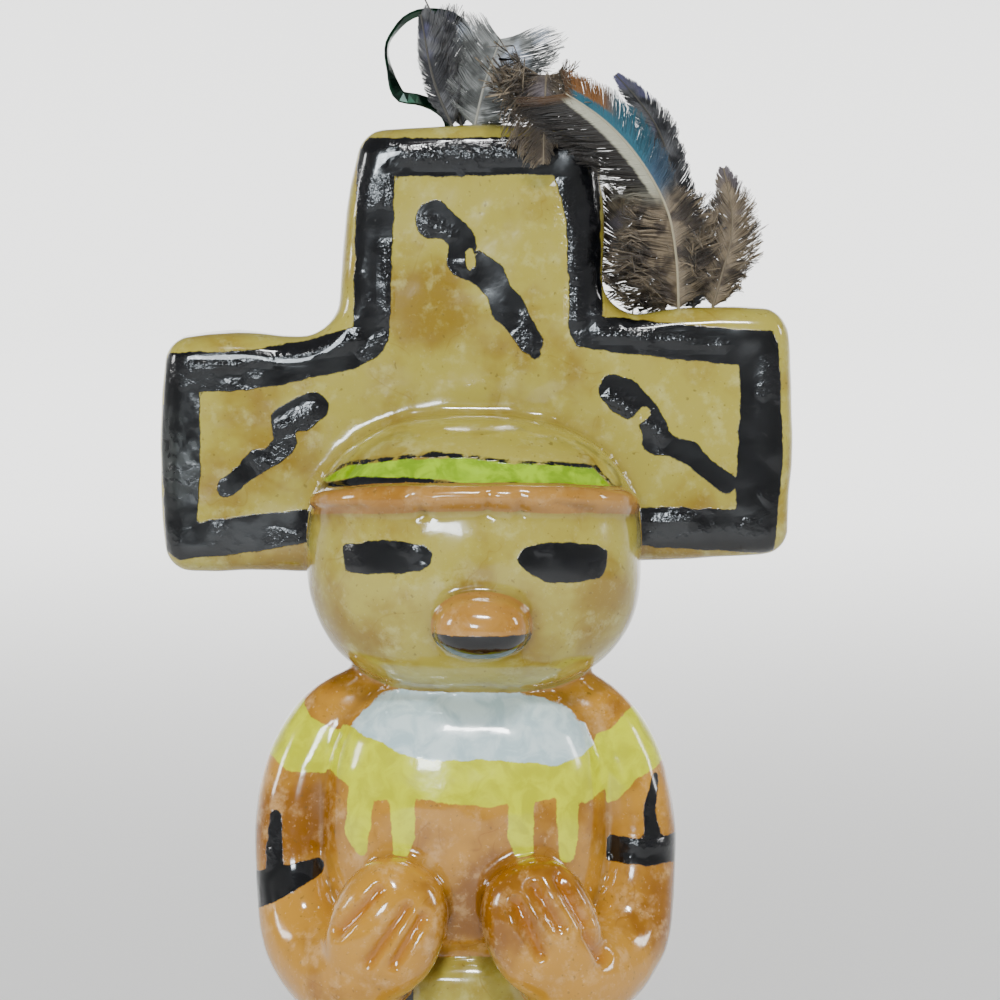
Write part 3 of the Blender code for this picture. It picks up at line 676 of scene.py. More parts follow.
# %% Face paint
FACE_PAINT_Y = 2
MOUTH_TOP_Z = 102.4
LIME_RIM_FOOT_Z = 120
LEFT_EYE = [
    (-18.7, 114.7), (-16.5, 115.1), (-12.9, 115.8), (-9.3, 115.4), (-6.6, 115.0), (-5.5, 113.9),
    (-5.8, 112.2), (-7.2, 111.4), (-10.5, 110.8), (-16.5, 110.6), (-18.3, 111.0),
]
RIGHT_EYE = [
    (6.6, 113.3), (7.8, 114.7), (10.6, 115.4), (14.8, 115.3), (18.4, 114.9), (19.9, 113.9),
    (19.7, 111.5), (19.0, 110.0), (14.8, 109.4), (11.2, 109.5), (7.8, 111.2), (6.9, 112.2),
]
LIME = [
    (-23.6, 122.8), (-18.1, 126.0), (-9.9, 127.2), (-1.5, 127.5), (5.2, 126.7), (11.9, 126.4),
    (17.9, 125.7), (20.9, 122.6), (13.4, 123.2), (1.3, 123.4), (-3.5, 124.3), (-9.9, 124.6),
    (-16.6, 124.5),
]
LIME_RIM = [
    (-24.4, 122.0), (-18.3, 126.5), (-9.9, 127.7), (-4.8, 128.3), (5.2, 127.1), (12.9, 126.7),
    (18.4, 126.0), (22.2, 121.6), (20.0, 120.0), (-22.0, 120.0),
]
eyes = painted(nearest(outline_distance, (LEFT_EYE, RIGHT_EYE)), head, [slab, band, nose], FACE_PAINT_Y)
lime = painted(outline_distance(flat, LIME), head, [slab, band])
lime_rim = np.maximum(outline_distance(flat, LIME_RIM), LIME_RIM_FOOT_Z - points[:, 2])
lime_rim = np.maximum(painted(lime_rim, head, [slab, band], FACE_PAINT_Y), -lime)
mouth = painted(points[:, 2] - MOUTH_TOP_Z, nose, [head])
print("share of the points under lime:", round(float((lime < 0).mean()), 4))

# %% [markdown]
# Each arm has a yellow band at the shoulder and black strokes at the elbow. The kilt has a black
# sash end that hangs from the waist. Its hem line is guessed, as the photograph ends above it.

# %% Arm and kilt paint
ARM_PAINT_Y = 6
KILT_PAINT_Y = 0
HEM_LINE_Z = 28.0
HEM_LINE_HALF = 1.0
ARM_STROKES = (
    ((-29.0, 73.6, 0.9), (-29.4, 69.0, 1.2), (-29.2, 64.3, 1.4)),
    ((-34.0, 61.6, 2.7), (-28.0, 64.2, 2.2), (-23.1, 66.2, 1.3)),
    ((20.8, 68.8, 1.9), (26.0, 68.4, 2.0), (33.0, 68.8, 2.0)),
    ((27.3, 79.3, 0.5), (26.4, 75.0, 0.9), (26.8, 70.7, 1.3)),
)
ARM_BANDS = (
    [(-30.0, 96.0), (-25.4, 91.1), (-24.2, 88.3), (-21.4, 86.9), (-18.0, 86.0), (-18.0, 79.5), (-23.9, 80.2),
     (-27.7, 80.3), (-29.6, 82.1), (-36.0, 84.0)],
    [(30.0, 95.0), (24.0, 89.6), (20.6, 86.6), (16.0, 84.5), (16.0, 74.5), (21.6, 76.0), (24.3, 79.0),
     (28.5, 81.4), (34.0, 83.0)],
)
KILT_SASH = ((-9.6, 50.0, 1.5), (-10.4, 46.0, 1.7), (-11.2, 36.0, 1.5), (-11.0, 30.0, 1.2))
arm_marks = painted(nearest(route_distance, ARM_STROKES), arms, [body, slab, head], ARM_PAINT_Y)
arm_bands = painted(nearest(outline_distance, ARM_BANDS), arms, [body, head, slab])
sash = painted(route_distance(flat, KILT_SASH), kilt, [body, arms, legs], KILT_PAINT_Y)
hem_line = painted(np.abs(points[:, 2] - HEM_LINE_Z) - HEM_LINE_HALF, kilt, [body, arms, legs])
black = np.minimum.reduce([slab_black, eyes, lime_rim, mouth, arm_marks, sash, hem_line])
print("share of the points under black paint:", round(float((black < 0).mean()), 3))

# %% [markdown]
# The chest is white above, with a yellow collar below it that runs down in four short strips.

# %% Chest paint
CHEST_PAINT_Y = 1
CHEST_WHITE = [
    (-18.1, 87.2), (-13.7, 91.5), (-9.0, 93.7), (-2.0, 94.6), (1.3, 94.4), (7.1, 92.3),
    (13.3, 90.4), (16.9, 87.0), (18.1, 84.4), (16.2, 83.0), (12.3, 82.0), (8.9, 82.6), (2.1, 83.0),
    (-3.6, 83.0), (-8.7, 83.3), (-13.7, 85.4),
]
CHEST_YELLOW = [
    (-26.0, 88.0), (-18.1, 87.2), (-13.7, 88.0), (-8.0, 88.0), (9.0, 88.0), (16.0, 86.0),
    (18.1, 84.4), (22.0, 84.0), (22.0, 77.2), (19.6, 77.7), (16.9, 76.2), (12.6, 77.4), (9.5, 77.0),
    (2.1, 76.2), (-1.7, 76.5), (-8.0, 77.4), (-13.7, 77.1), (-17.8, 78.6), (-21.0, 80.6),
    (-26.0, 81.0),
]
CHEST_STRIPS = (
    ((-16.0, 78.5, 1.9), (-16.9, 72.0, 1.8), (-16.2, 69.6, 1.0)),
    ((-10.2, 78.5, 1.9), (-10.0, 72.0, 1.7), (-10.4, 69.2, 1.2)),
    ((7.5, 78.5, 1.9), (7.2, 72.0, 1.9), (8.0, 68.6, 1.1)),
    ((14.0, 78.5, 1.7), (14.2, 72.0, 1.6), (14.0, 68.8, 1.1)),
)
white = painted(outline_distance(flat, CHEST_WHITE), body, [arms, head], CHEST_PAINT_Y)
collar = np.minimum(outline_distance(flat, CHEST_YELLOW), nearest(route_distance, CHEST_STRIPS))
yellow = np.minimum(painted(collar, body, [arms, head], CHEST_PAINT_Y), arm_bands)
print("share of the points under yellow:", round(float((yellow < 0).mean()), 3))

# %% [markdown]
# The brown tint covers the body, arms and legs, and the headband and nose keep their own bare dough.
# Painted shade darkens the creases where two lumps meet. Some places were scorched to ochre in the oven,
# painted shade darkens the lower sides of the head, the border is worn at its left end, and the varnish
# dried in thick beads. All shapes are stored on the mesh's points.

# %% Tint, painted shade in the creases, scorched and shaded places, and varnish beads
tinted = np.minimum.reduce([body, arms, legs]) - np.minimum.reduce([slab, head, kilt])
bare = np.minimum(nose, band) - np.minimum(head, slab)
lump_gaps = np.abs(np.stack([slab, head, body, arms, kilt, band, nose, legs]))
# Painted shade: the colour darkens near where two lumps meet, where shade falls in the creases
CREASE_WIDTH = 1.1
crease_shade = np.exp(-np.sort(lump_gaps, axis=0)[1] / CREASE_WIDTH)
# Sideways, up and radius in mm of the ochre places, three of which, at the lower sides of the head, are
# painted shade, and of the worn stretch of the border
SCORCHED_AND_SHADED = (
    (-5.8, 151.0, 6.0), (-20.5, 100.0, 7.0), (-25.0, 107.0, 7.0), (25.0, 105.0, 8.0), (-27.0, 73.0, 7.0),
    (31.0, 66.0, 8.0), (0.0, 108.0, 4.0), (2.0, 62.0, 8.0),
)
WORN = (-46.5, 126.0, 8.0)


def spot(x, z, radius):
    """One at the place, falling off softly to nothing."""
    return np.exp(-((flat[:, 0] - x) ** 2 + (flat[:, 1] - z) ** 2) / radius ** 2)


scorch_and_shade = np.maximum.reduce([spot(*place) for place in SCORCHED_AND_SHADED])
# Thick beads of varnish that glitter, as routes of sideways, up and radius in mm
BEADS = (
    ((-9.8, 171.6, 2.0), (0.0, 171.2, 2.1), (11.0, 172.0, 2.0)),
    ((13.4, 166.6, 1.6), (15.2, 158.0, 1.8), (15.6, 147.0, 1.8)),
    ((-12.8, 158.0, 1.2), (-12.9, 147.0, 1.2)),
    ((-42.0, 139.6, 1.4), (-27.0, 141.6, 1.5), (-17.6, 144.0, 1.7)),
    ((19.0, 145.0, 1.4), (31.0, 143.8, 1.4), (38.0, 143.0, 1.0)),
    ((26.0, 116.4, 1.3), (33.0, 116.8, 1.3)),
    ((21.0, 135.2, 1.6), (25.0, 132.4, 1.8), (28.6, 129.6, 1.4)),
    ((-24.6, 133.0, 1.6), (-29.0, 130.6, 1.4)),
    ((-6.6, 161.6, 1.3), (-3.4, 159.6, 1.3)),
    ((23.0, 69.4, 1.2), (30.0, 69.2, 1.2)),
)
BEAD_SLOPE = 1.6
BODY_BEADS_BELOW_Z = 80
bead = np.clip(-nearest(route_distance, BEADS) / BEAD_SLOPE, 0, 1)
bead[(points[:, 1] >= SLAB_PAINT_Y) & (points[:, 2] >= BODY_BEADS_BELOW_Z)] = 0
attributes = {
    "black": black, "yellow": yellow, "lime": lime, "white": white, "skin": tinted, "orange": bare,
    "crease_shade": crease_shade, "scorch_and_shade": scorch_and_shade, "worn": spot(*WORN), "bead": bead, "groove": groove,
}
for name, values in attributes.items():
    layer = fused.attributes.new(name, "FLOAT", "POINT")
    layer.data.foreach_set("value", np.clip(values, -UNPAINTED, UNPAINTED).astype(np.float32))
fused.vertices.foreach_set("co", (points * MM).ravel())
fused.update()
fused.shade_smooth()
print("attributes on the dough:", ", ".join(attributes))

# %% [markdown]
# The dough is pale and mottled, with salt flecks and scorched ochre patches, and painted shade darkens
# the lower sides of the head. The body was tinted an orange brown. Over the paint lies a thick clear
# varnish, so the surface is glossy everywhere, and small waves in it break its mirror images up.


# %% Material helpers
def new_group(name, inputs, outputs):
    """A node group with these sockets. It gives out only colours, masks and values."""
    group = bpy.data.node_groups.new(name, "ShaderNodeTree")
    for label, kind, value in inputs:
        socket = group.interface.new_socket(label, in_out="INPUT", socket_type=kind)
        socket.default_value = value
    for label, kind in outputs:
        group.interface.new_socket(label, in_out="OUTPUT", socket_type=kind)
    return group, group.nodes.new("NodeGroupInput").outputs, group.nodes.new("NodeGroupOutput").inputs


def connect(value, socket):
    """Sets a socket to a number or a colour, or links another socket into it."""
    if isinstance(value, bpy.types.NodeSocket):
        socket.id_data.links.new(value, socket)
    elif isinstance(value, tuple) and len(value) == 3 and socket.type == "RGBA":
        socket.default_value = (*value, 1)
    else:
        socket.default_value = value


def node_for(kind, *values):
    """A new node in the tree that the first socket among the values belongs to."""
    tree = next(value.id_data for value in values if isinstance(value, bpy.types.NodeSocket))
    return tree.nodes.new(kind)


def calc(operation, a, b=0.0, clamp=False):
    node = node_for("ShaderNodeMath", a, b)
    node.operation = operation
    node.use_clamp = clamp
    connect(a, node.inputs[0])
    connect(b, node.inputs[1])
    return node.outputs[0]


def plus(a, b):
    return calc("ADD", a, b)


def minus(a, b):
    return calc("SUBTRACT", a, b)


def times(a, b, clamp=False):
    return calc("MULTIPLY", a, b, clamp)


def ramp(value, low, high, out_low=0.0, out_high=1.0):
    """A smooth step from low to high."""
    node = node_for("ShaderNodeMapRange", value)
    node.interpolation_type = "SMOOTHSTEP"
    numbers = {"Value": value, "From Min": low, "From Max": high, "To Min": out_low, "To Max": out_high}
    for label, number in numbers.items():
        connect(number, node.inputs[label])
    return node.outputs["Result"]


def mix(share, a, b):
    """Colour a, with this share of colour b in it."""
    node = node_for("ShaderNodeMix", share, a, b)
    node.data_type = "RGBA"
    connect(share, node.inputs["Factor"])
    connect(a, node.inputs["A"])
    connect(b, node.inputs["B"])
    return node.outputs["Result"]


def clouds(coords, scale, detail=3.0, roughness=0.55, distortion=0.0):
    """Soft noise from 0 to 1, with this many lumps to the unit of the coordinates."""
    node = node_for("ShaderNodeTexNoise", coords)
    numbers = {"Scale": scale, "Detail": detail, "Roughness": roughness, "Distortion": distortion}
    connect(coords, node.inputs["Vector"])
    for label, number in numbers.items():
        connect(number, node.inputs[label])
    return node.outputs["Fac"]


def attribute_node(tree, name):
    node = tree.nodes.new("ShaderNodeAttribute")
    node.attribute_name = name
    return node.outputs["Fac"]


def use_group(group, **values):
    """A node with the group and these values on its sockets."""
    node = node_for("ShaderNodeGroup", *values.values())
    node.node_tree = group
    for label, value in values.items():
        connect(value, node.inputs[label])
    return node.outputs[0]


def new_material(name):
    """A material with its tree, its shader and the object's own coordinates."""
    material = bpy.data.materials.new(name)
    material.use_nodes = True
    tree = material.node_tree
    coords = tree.nodes.new("ShaderNodeTexCoord").outputs["Object"]
    return material, tree, tree.nodes["Principled BSDF"], coords


def srgb(*levels):
    """A colour given as red, green and blue from 0 to 255, made linear."""
    shares = [level / 255 for level in levels]
    return tuple(c / 12.92 if c <= 0.04045 else ((c + 0.055) / 1.055) ** 2.4 for c in shares)


brush, brush_in, brush_out = new_group(
    "Brush edge",
    (("Distance", "NodeSocketFloat", 0.0), ("Coords", "NodeSocketVector", (0, 0, 0)),
     ("Wander", "NodeSocketFloat", 0.5)),
    (("Mask", "NodeSocketFloat"),),
)
EDGE_SOFTNESS = 0.12
BRISTLE_WANDER = 0.25
slow = clouds(brush_in["Coords"], 420, 3.0)
fast = clouds(brush_in["Coords"], 2600, 2.0)
wander = times(minus(slow, 0.5), brush_in["Wander"])
wander = plus(wander, times(minus(fast, 0.5), BRISTLE_WANDER))
edge = plus(brush_in["Distance"], wander)
connect(ramp(edge, EDGE_SOFTNESS, -EDGE_SOFTNESS), brush_out["Mask"])

mottle, mottle_in, mottle_out = new_group(
    "Mottled dough",
    (("Coords", "NodeSocketVector", (0, 0, 0)), ("Pale", "NodeSocketColor", (1, 1, 1, 1)),
     ("Main", "NodeSocketColor", (1, 1, 1, 1)), ("Dark", "NodeSocketColor", (1, 1, 1, 1)),
     ("Flecks", "NodeSocketFloat", 0.5), ("Scorch", "NodeSocketFloat", 0.0)),
    (("Color", "NodeSocketColor"),),
)
SPECK_COLOUR = srgb(96, 76, 30)
coords = mottle_in["Coords"]
# Broad baked patches, which the scorched places and the painted shade at the head's sides push up, then paler
# blotches over them
patches = clouds(coords, 75, 4.0, 0.6)
patches = plus(patches, times(mottle_in["Scorch"], 0.28))
dough_colour = mix(ramp(patches, 0.46, 0.74), mottle_in["Main"], mottle_in["Dark"])
blotches = clouds(coords, 260, 4.0, 0.65)
dough_colour = mix(times(ramp(blotches, 0.50, 0.74), 0.6), dough_colour, mottle_in["Pale"])
# Faint cracks run where a slow noise crosses its middle value
ridge = calc("ABSOLUTE", minus(clouds(coords, 60, 2.0, 0.6, 0.7), 0.5))
crack_lines = times(ramp(ridge, 0.010, 0.0), ramp(patches, 0.48, 0.62))
dough_colour = mix(times(crack_lines, 0.5), dough_colour, mottle_in["Dark"])
# Pale salt flecks and dark specks
flecks = times(ramp(clouds(coords, 1500, 2.0), 0.62, 0.74), mottle_in["Flecks"])
dough_colour = mix(flecks, dough_colour, mottle_in["Pale"])
specks = times(ramp(clouds(coords, 1250, 1.0), 0.68, 0.76), 0.5)
dough_colour = mix(specks, dough_colour, SPECK_COLOUR)
connect(dough_colour, mottle_out["Color"])
print("node groups:", brush.name, "and", mottle.name)

# %% Painted and varnished dough
dough, tree, shader, coords = new_material("painted_dough")


def painted_mask(name, wander):
    """One inside the painted shape of this name, with an edge that wanders by this many mm."""
    return use_group(brush, Distance=attribute_node(tree, name), Coords=coords, Wander=wander)


# The scorched ochre places, and the painted shade at the lower sides of the head
scorch_and_shade = attribute_node(tree, "scorch_and_shade")
cream = use_group(mottle, Coords=coords, Pale=srgb(196, 190, 118), Main=srgb(170, 158, 66),
                  Dark=srgb(138, 112, 30), Flecks=0.2, Scorch=scorch_and_shade)
brown = use_group(mottle, Coords=coords, Pale=srgb(222, 178, 116), Main=srgb(188, 134, 40),
                  Dark=srgb(136, 84, 4), Flecks=0.4, Scorch=scorch_and_shade)
nose_brown = use_group(mottle, Coords=coords, Pale=srgb(204, 164, 104), Main=srgb(180, 130, 56),
                       Dark=srgb(152, 100, 16), Flecks=0.5)
colour = mix(painted_mask("skin", 0.5), cream, brown)
colour = mix(painted_mask("orange", 0.2), colour, nose_brown)
# Painted shade darkens the grooves and the creases
groove_shade_mask = times(attribute_node(tree, "groove"), 0.8, clamp=True)
colour = mix(groove_shade_mask, colour, srgb(160, 92, 0))
crease_shade_mask = times(attribute_node(tree, "crease_shade"), 0.65, clamp=True)
colour = mix(crease_shade_mask, colour, srgb(104, 68, 26))
# Paints in the order that they were laid on, with the brush's streaks in them
streaks = clouds(coords, 300, 3.0, 0.6, 0.6)
for name, first, second, wander in (
    ("yellow", srgb(214, 220, 0), srgb(190, 192, 0), 0.9),
    ("white", srgb(214, 234, 234), srgb(180, 206, 210), 1.2),
    ("lime", srgb(164, 206, 0), srgb(122, 160, 0), 0.8),
    ("black", srgb(5, 6, 9), srgb(12, 13, 17), 0.9),
):
    mask = painted_mask(name, wander)
    colour = mix(mask, colour, mix(ramp(streaks, 0.35, 0.65), first, second))
black_mask = mask
worn_share = times(times(attribute_node(tree, "worn"), black_mask), ramp(streaks, 0.38, 0.60))
colour = mix(worn_share, colour, srgb(40, 44, 42))
connect(colour, shader.inputs["Base Color"])

# The varnish is wavy all over, crumpled on some of the black, and lumpy where it ran into beads
varnish_waves = clouds(coords, 240, 2.0, 0.5)
fine_waves = clouds(coords, 900, 3.0, 0.6)
crumpled = ramp(clouds(coords, 150, 2.0), 0.50, 0.64)
crumpled = times(crumpled, plus(times(black_mask, 0.75), 0.10))
height = plus(times(varnish_waves, 0.3), times(fine_waves, plus(crumpled, 0.05)))
height = plus(height, times(black_mask, 0.25))
lumps = plus(0.35, times(clouds(coords, 620, 3.0, 0.65), 1.6))
height = plus(height, times(attribute_node(tree, "bead"), lumps))
bump = tree.nodes.new("ShaderNodeBump")
bump.inputs["Strength"].default_value = 0.8
bump.inputs["Distance"].default_value = 0.00025
connect(height, bump.inputs["Height"])
connect(bump.outputs["Normal"], shader.inputs["Normal"])
gloss = ramp(clouds(coords, 180, 2.0), 0.3, 0.7, 0.09, 0.20)
connect(plus(gloss, times(worn_share, 0.25)), shader.inputs["Roughness"])
shader.inputs["Specular IOR Level"].default_value = 0.45
shader.inputs["Coat Weight"].default_value = 0.5
shader.inputs["Coat Roughness"].default_value = 0.04
fused.materials.clear()
fused.materials.append(dough)
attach(figure, "root")
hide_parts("figure")
print("dough material nodes:", len(tree.nodes))

# %% [markdown]
# Eight small feathers stand in two bunches, on the slab's top and on its right step. A real feather
# is a tapering shaft with hundreds of fine barbs on both sides, firm near the tip and downy near the
# quill. A Geometry Nodes group grows the barbs along each shaft, because they all follow one rule.


# %% Geometry Nodes group for barbs
def grow(kind, inputs, **settings):
    """A node of the barbs group, with these values on its sockets and these settings."""
    node = barbs.nodes.new(kind)
    for label, value in settings.items():
        setattr(node, label, value)
    for label, value in inputs.items():
        connect(value, node.inputs[label])
    return node


def read(label, kind="FLOAT"):
    """A named attribute of the points."""
    return grow("GeometryNodeInputNamedAttribute", {"Name": label}, data_type=kind).outputs["Attribute"]


def store(geometry, label, value, kind="FLOAT"):
    """The geometry, with the value kept on its points under this name."""
    inputs = {"Geometry": geometry, "Name": label, "Value": value}
    return grow("GeometryNodeStoreNamedAttribute", inputs, data_type=kind, domain="POINT").outputs[0]


def vector(operation, a, b=None, scale=None):
    node = node_for("ShaderNodeVectorMath", a)
    node.operation = operation
    connect(a, node.inputs[0])
    if b is not None:
        connect(b, node.inputs[1])
    if scale is not None:
        connect(scale, node.inputs["Scale"])
    return node.outputs["Vector"]


BARB_POINTS = 6
BARB_FLATNESS = 0.45
BARB_TAPER = 0.75
SHORTEST_BARB = 0.25
CUP = 0.10
barbs = bpy.data.node_groups.new("Feather barbs", "GeometryNodeTree")
barb_sockets = {}
for label, kind in (
    ("Geometry", "NodeSocketGeometry"), ("Barbs a side", "NodeSocketInt"), ("Thickness", "NodeSocketFloat"),
    ("Slant", "NodeSocketFloat"), ("Curl", "NodeSocketFloat"), ("Fray", "NodeSocketFloat"),
    ("Seed", "NodeSocketInt"), ("Material", "NodeSocketMaterial"),
):
    barb_sockets[label] = barbs.interface.new_socket(label, in_out="INPUT", socket_type=kind).identifier
barbs.interface.new_socket("Geometry", in_out="OUTPUT", socket_type="NodeSocketGeometry")
given = barbs.nodes.new("NodeGroupInput").outputs
grown = barbs.nodes.new("NodeGroupOutput")

# One barb: a thin three-sided spike of length one, which knows how far out each point is
line = grow("GeometryNodeCurvePrimitiveLine", {"Start": (0, 0, 0), "End": (1, 0, 0)}).outputs[0]
line = grow("GeometryNodeResampleCurve", {"Curve": line, "Count": BARB_POINTS}).outputs[0]
out_share = barbs.nodes.new("GeometryNodeSplineParameter").outputs["Factor"]
line = store(line, "out", out_share)
circle = grow("GeometryNodeCurvePrimitiveCircle", {"Resolution": 3, "Radius": 1.0}).outputs[0]
taper = minus(1.0, times(out_share, BARB_TAPER))
spike = {"Curve": line, "Profile Curve": circle, "Scale": taper, "Fill Caps": True}
one_barb = grow("GeometryNodeCurveToMesh", spike).outputs[0]

# Barbs stand along both sides of the shaft, upright near the tip and loose near the quill
stem = grow("GeometryNodeMeshToCurve", {"Mesh": given["Geometry"]}).outputs[0]
gather = barbs.nodes.new("GeometryNodeJoinGeometry")
across, face, tangent = (read(label, "FLOAT_VECTOR") for label in ("across", "face", "tangent"))
position = barbs.nodes.new("GeometryNodeInputPosition").outputs[0]
loose = calc("POWER", minus(1.0, read("along")), 2.0)
loose = times(given["Fray"], plus(0.5, times(loose, 1.6)))
flat_side = times(given["Thickness"], BARB_FLATNESS)
for label, side in (("right", 1.0), ("left", -1.0)):
    dots = grow("GeometryNodeResampleCurve", {"Curve": stem, "Count": given["Barbs a side"]}).outputs[0]
    dots = store(dots, "tangent", barbs.nodes.new("GeometryNodeInputTangent").outputs[0], "FLOAT_VECTOR")
    draw = barbs.nodes.new("FunctionNodeRandomValue")
    connect(plus(given["Seed"], 50 + side * 10), draw.inputs["Seed"])
    dots = store(dots, "lot", draw.outputs[1])
    dots = store(dots, "side", side)
    dots = store(dots, "reach", times(read(label), plus(0.85, times(read("lot"), 0.3))))
    upright = times(given["Slant"], plus(0.3, times(read("along"), 0.9)))
    stray = times(minus(read("lot"), 0.5), 0.6)
    clump = times(minus(clouds(position, 1.1, 2.0), 0.5), 1.5)
    angle = plus(upright, times(loose, plus(stray, clump)))
    sideways = vector("SCALE", across, scale=times(calc("COSINE", angle), side))
    forwards = vector("SCALE", tangent, scale=calc("SINE", angle))
    axes = {"Primary Axis": vector("ADD", sideways, forwards), "Secondary Axis": face}
    turn = grow("FunctionNodeAxesToRotation", axes, primary_axis="X", secondary_axis="Z").outputs[0]
    sizes = {"X": read("reach"), "Y": given["Thickness"], "Z": flat_side}
    size = grow("ShaderNodeCombineXYZ", sizes).outputs[0]
    placed = grow("GeometryNodeInstanceOnPoints", {
        "Points": dots, "Instance": one_barb, "Rotation": turn, "Scale": size,
        "Selection": calc("GREATER_THAN", read("reach"), SHORTEST_BARB),
    }).outputs[0]
    connect(placed, gather.inputs[0])
barb_mesh = grow("GeometryNodeRealizeInstances", {"Geometry": gather.outputs[0]}).outputs[0]

# Each barb bends towards the tip, cups a little and wanders, more the further out it is
bend = times(calc("POWER", read("out"), 2.0), read("reach"))
curl = vector("SCALE", tangent, scale=times(bend, given["Curl"]))
lift = times(minus(read("lot"), 0.5), times(loose, 1.4))
cup = vector("SCALE", face, scale=times(bend, plus(lift, CUP)))
drift = grow("ShaderNodeTexNoise", {"Vector": position, "Scale": 0.7, "Detail": 2.0}).outputs["Color"]
wisp = vector("SUBTRACT", drift, (0.5, 0.5, 0.5))
wisp = vector("SCALE", wisp, scale=times(times(bend, loose), 1.6))
offset = vector("ADD", vector("ADD", curl, cup), wisp)
barb_mesh = grow("GeometryNodeSetPosition", {"Geometry": barb_mesh, "Offset": offset}).outputs[0]
barb_mesh = grow("GeometryNodeSetMaterial", {"Geometry": barb_mesh, "Material": given["Material"]}).outputs[0]
connect(barb_mesh, grown.inputs[0])
print("barb group sockets:", list(barb_sockets))

# %% [markdown]
# Down is grey and brown, with a pale shaft. One feather is iridescent, as a mallard's wing feather is:
# rust at the tip, teal beside it, a white bar along the shaft and near black on the other side.


# %% Feather materials
barb_look, look_in, look_out = new_group(
    "Barb colours",
    (("Coords", "NodeSocketVector", (0, 0, 0)), ("Lot", "NodeSocketFloat", 0.5),
     ("Along", "NodeSocketFloat", 0.5), ("Deep", "NodeSocketColor", (0, 0, 0, 1)),
     ("Light", "NodeSocketColor", (1, 1, 1, 1)), ("Sheen", "NodeSocketColor", (1, 1, 1, 1))),
    (("Color", "NodeSocketColor"),),
)
coords = look_in["Coords"]
barb_colour = mix(look_in["Lot"], look_in["Deep"], look_in["Light"])
shadow = ramp(clouds(coords, 330, 2.0), 0.42, 0.62)
barb_colour = mix(shadow, barb_colour, look_in["Deep"])
glint = ramp(clouds(coords, 170, 2.0), 0.55, 0.68)
glint = times(glint, ramp(look_in["Along"], 0.45, 0.75))
barb_colour = mix(glint, barb_colour, look_in["Sheen"])
connect(barb_colour, look_out["Color"])


def feather_material(name, deep, light, sheen):
    """A material whose barbs wander between two colours, with a sheen colour here and there."""
    material, tree, shader, coords = new_material(name)
    colour = use_group(barb_look, Coords=coords, Lot=attribute_node(tree, "lot"),
                       Along=attribute_node(tree, "along"), Deep=deep, Light=light, Sheen=sheen)
    return material, tree, shader, colour, attribute_node(tree, "out")


def finish_feather(shader, colour, out, shaft):
    """The shaft's points have an outward share of -1, and get the shaft's colour."""
    is_shaft = calc("LESS_THAN", out, -0.5)
    connect(mix(is_shaft, colour, shaft), shader.inputs["Base Color"])
    shader.inputs["Roughness"].default_value = 0.5
    shader.inputs["Sheen Weight"].default_value = 0.15


feather_looks = {}
for name, deep, light, sheen, shaft in (
    ("dark_feather", srgb(34, 34, 38), srgb(98, 98, 100), srgb(84, 82, 118), srgb(70, 66, 60)),
    ("grey_feather", srgb(82, 84, 82), srgb(154, 156, 154), srgb(196, 206, 222), srgb(150, 148, 138)),
    ("brown_feather", srgb(66, 54, 40), srgb(142, 126, 102), srgb(104, 96, 100), srgb(112, 100, 80)),
):
    material, tree, shader, colour, out = feather_material(name, deep, light, sheen)
    finish_feather(shader, colour, out, shaft)
    feather_looks[name] = material

banded, tree, shader, colour, out = feather_material(
    "banded_feather", srgb(64, 52, 40), srgb(138, 122, 98), srgb(84, 88, 112)
)
along = attribute_node(tree, "along")
cross = times(out, attribute_node(tree, "side"))
firm = ramp(along, 0.36, 0.50)
outer = ramp(cross, 0.02, 0.08)
inner = ramp(cross, -0.17, -0.24)
rust = times(ramp(along, 0.74, 0.84), ramp(cross, 0.30, 0.42))
for share, band_colour in (
    (times(firm, outer), srgb(50, 78, 102)),
    (times(ramp(along, 0.52, 0.62), outer), srgb(24, 88, 106)),
    (rust, srgb(134, 84, 22)),
    (times(firm, minus(1.0, outer)), srgb(190, 188, 166)),
    (times(firm, inner), srgb(34, 28, 22)),
    (ramp(along, 0.93, 0.98), srgb(86, 58, 24)),
):
    colour = mix(share, colour, band_colour)
finish_feather(shader, colour, out, srgb(170, 160, 134))
feather_looks["banded_feather"] = banded
print("feather materials:", list(feather_looks))

# %% [markdown]
# The shafts stand where the CAD has them, and their barbs spread as far as the photograph shows. The
# lower part of each feather carries loose down, which makes the soft brown mass round the quills.

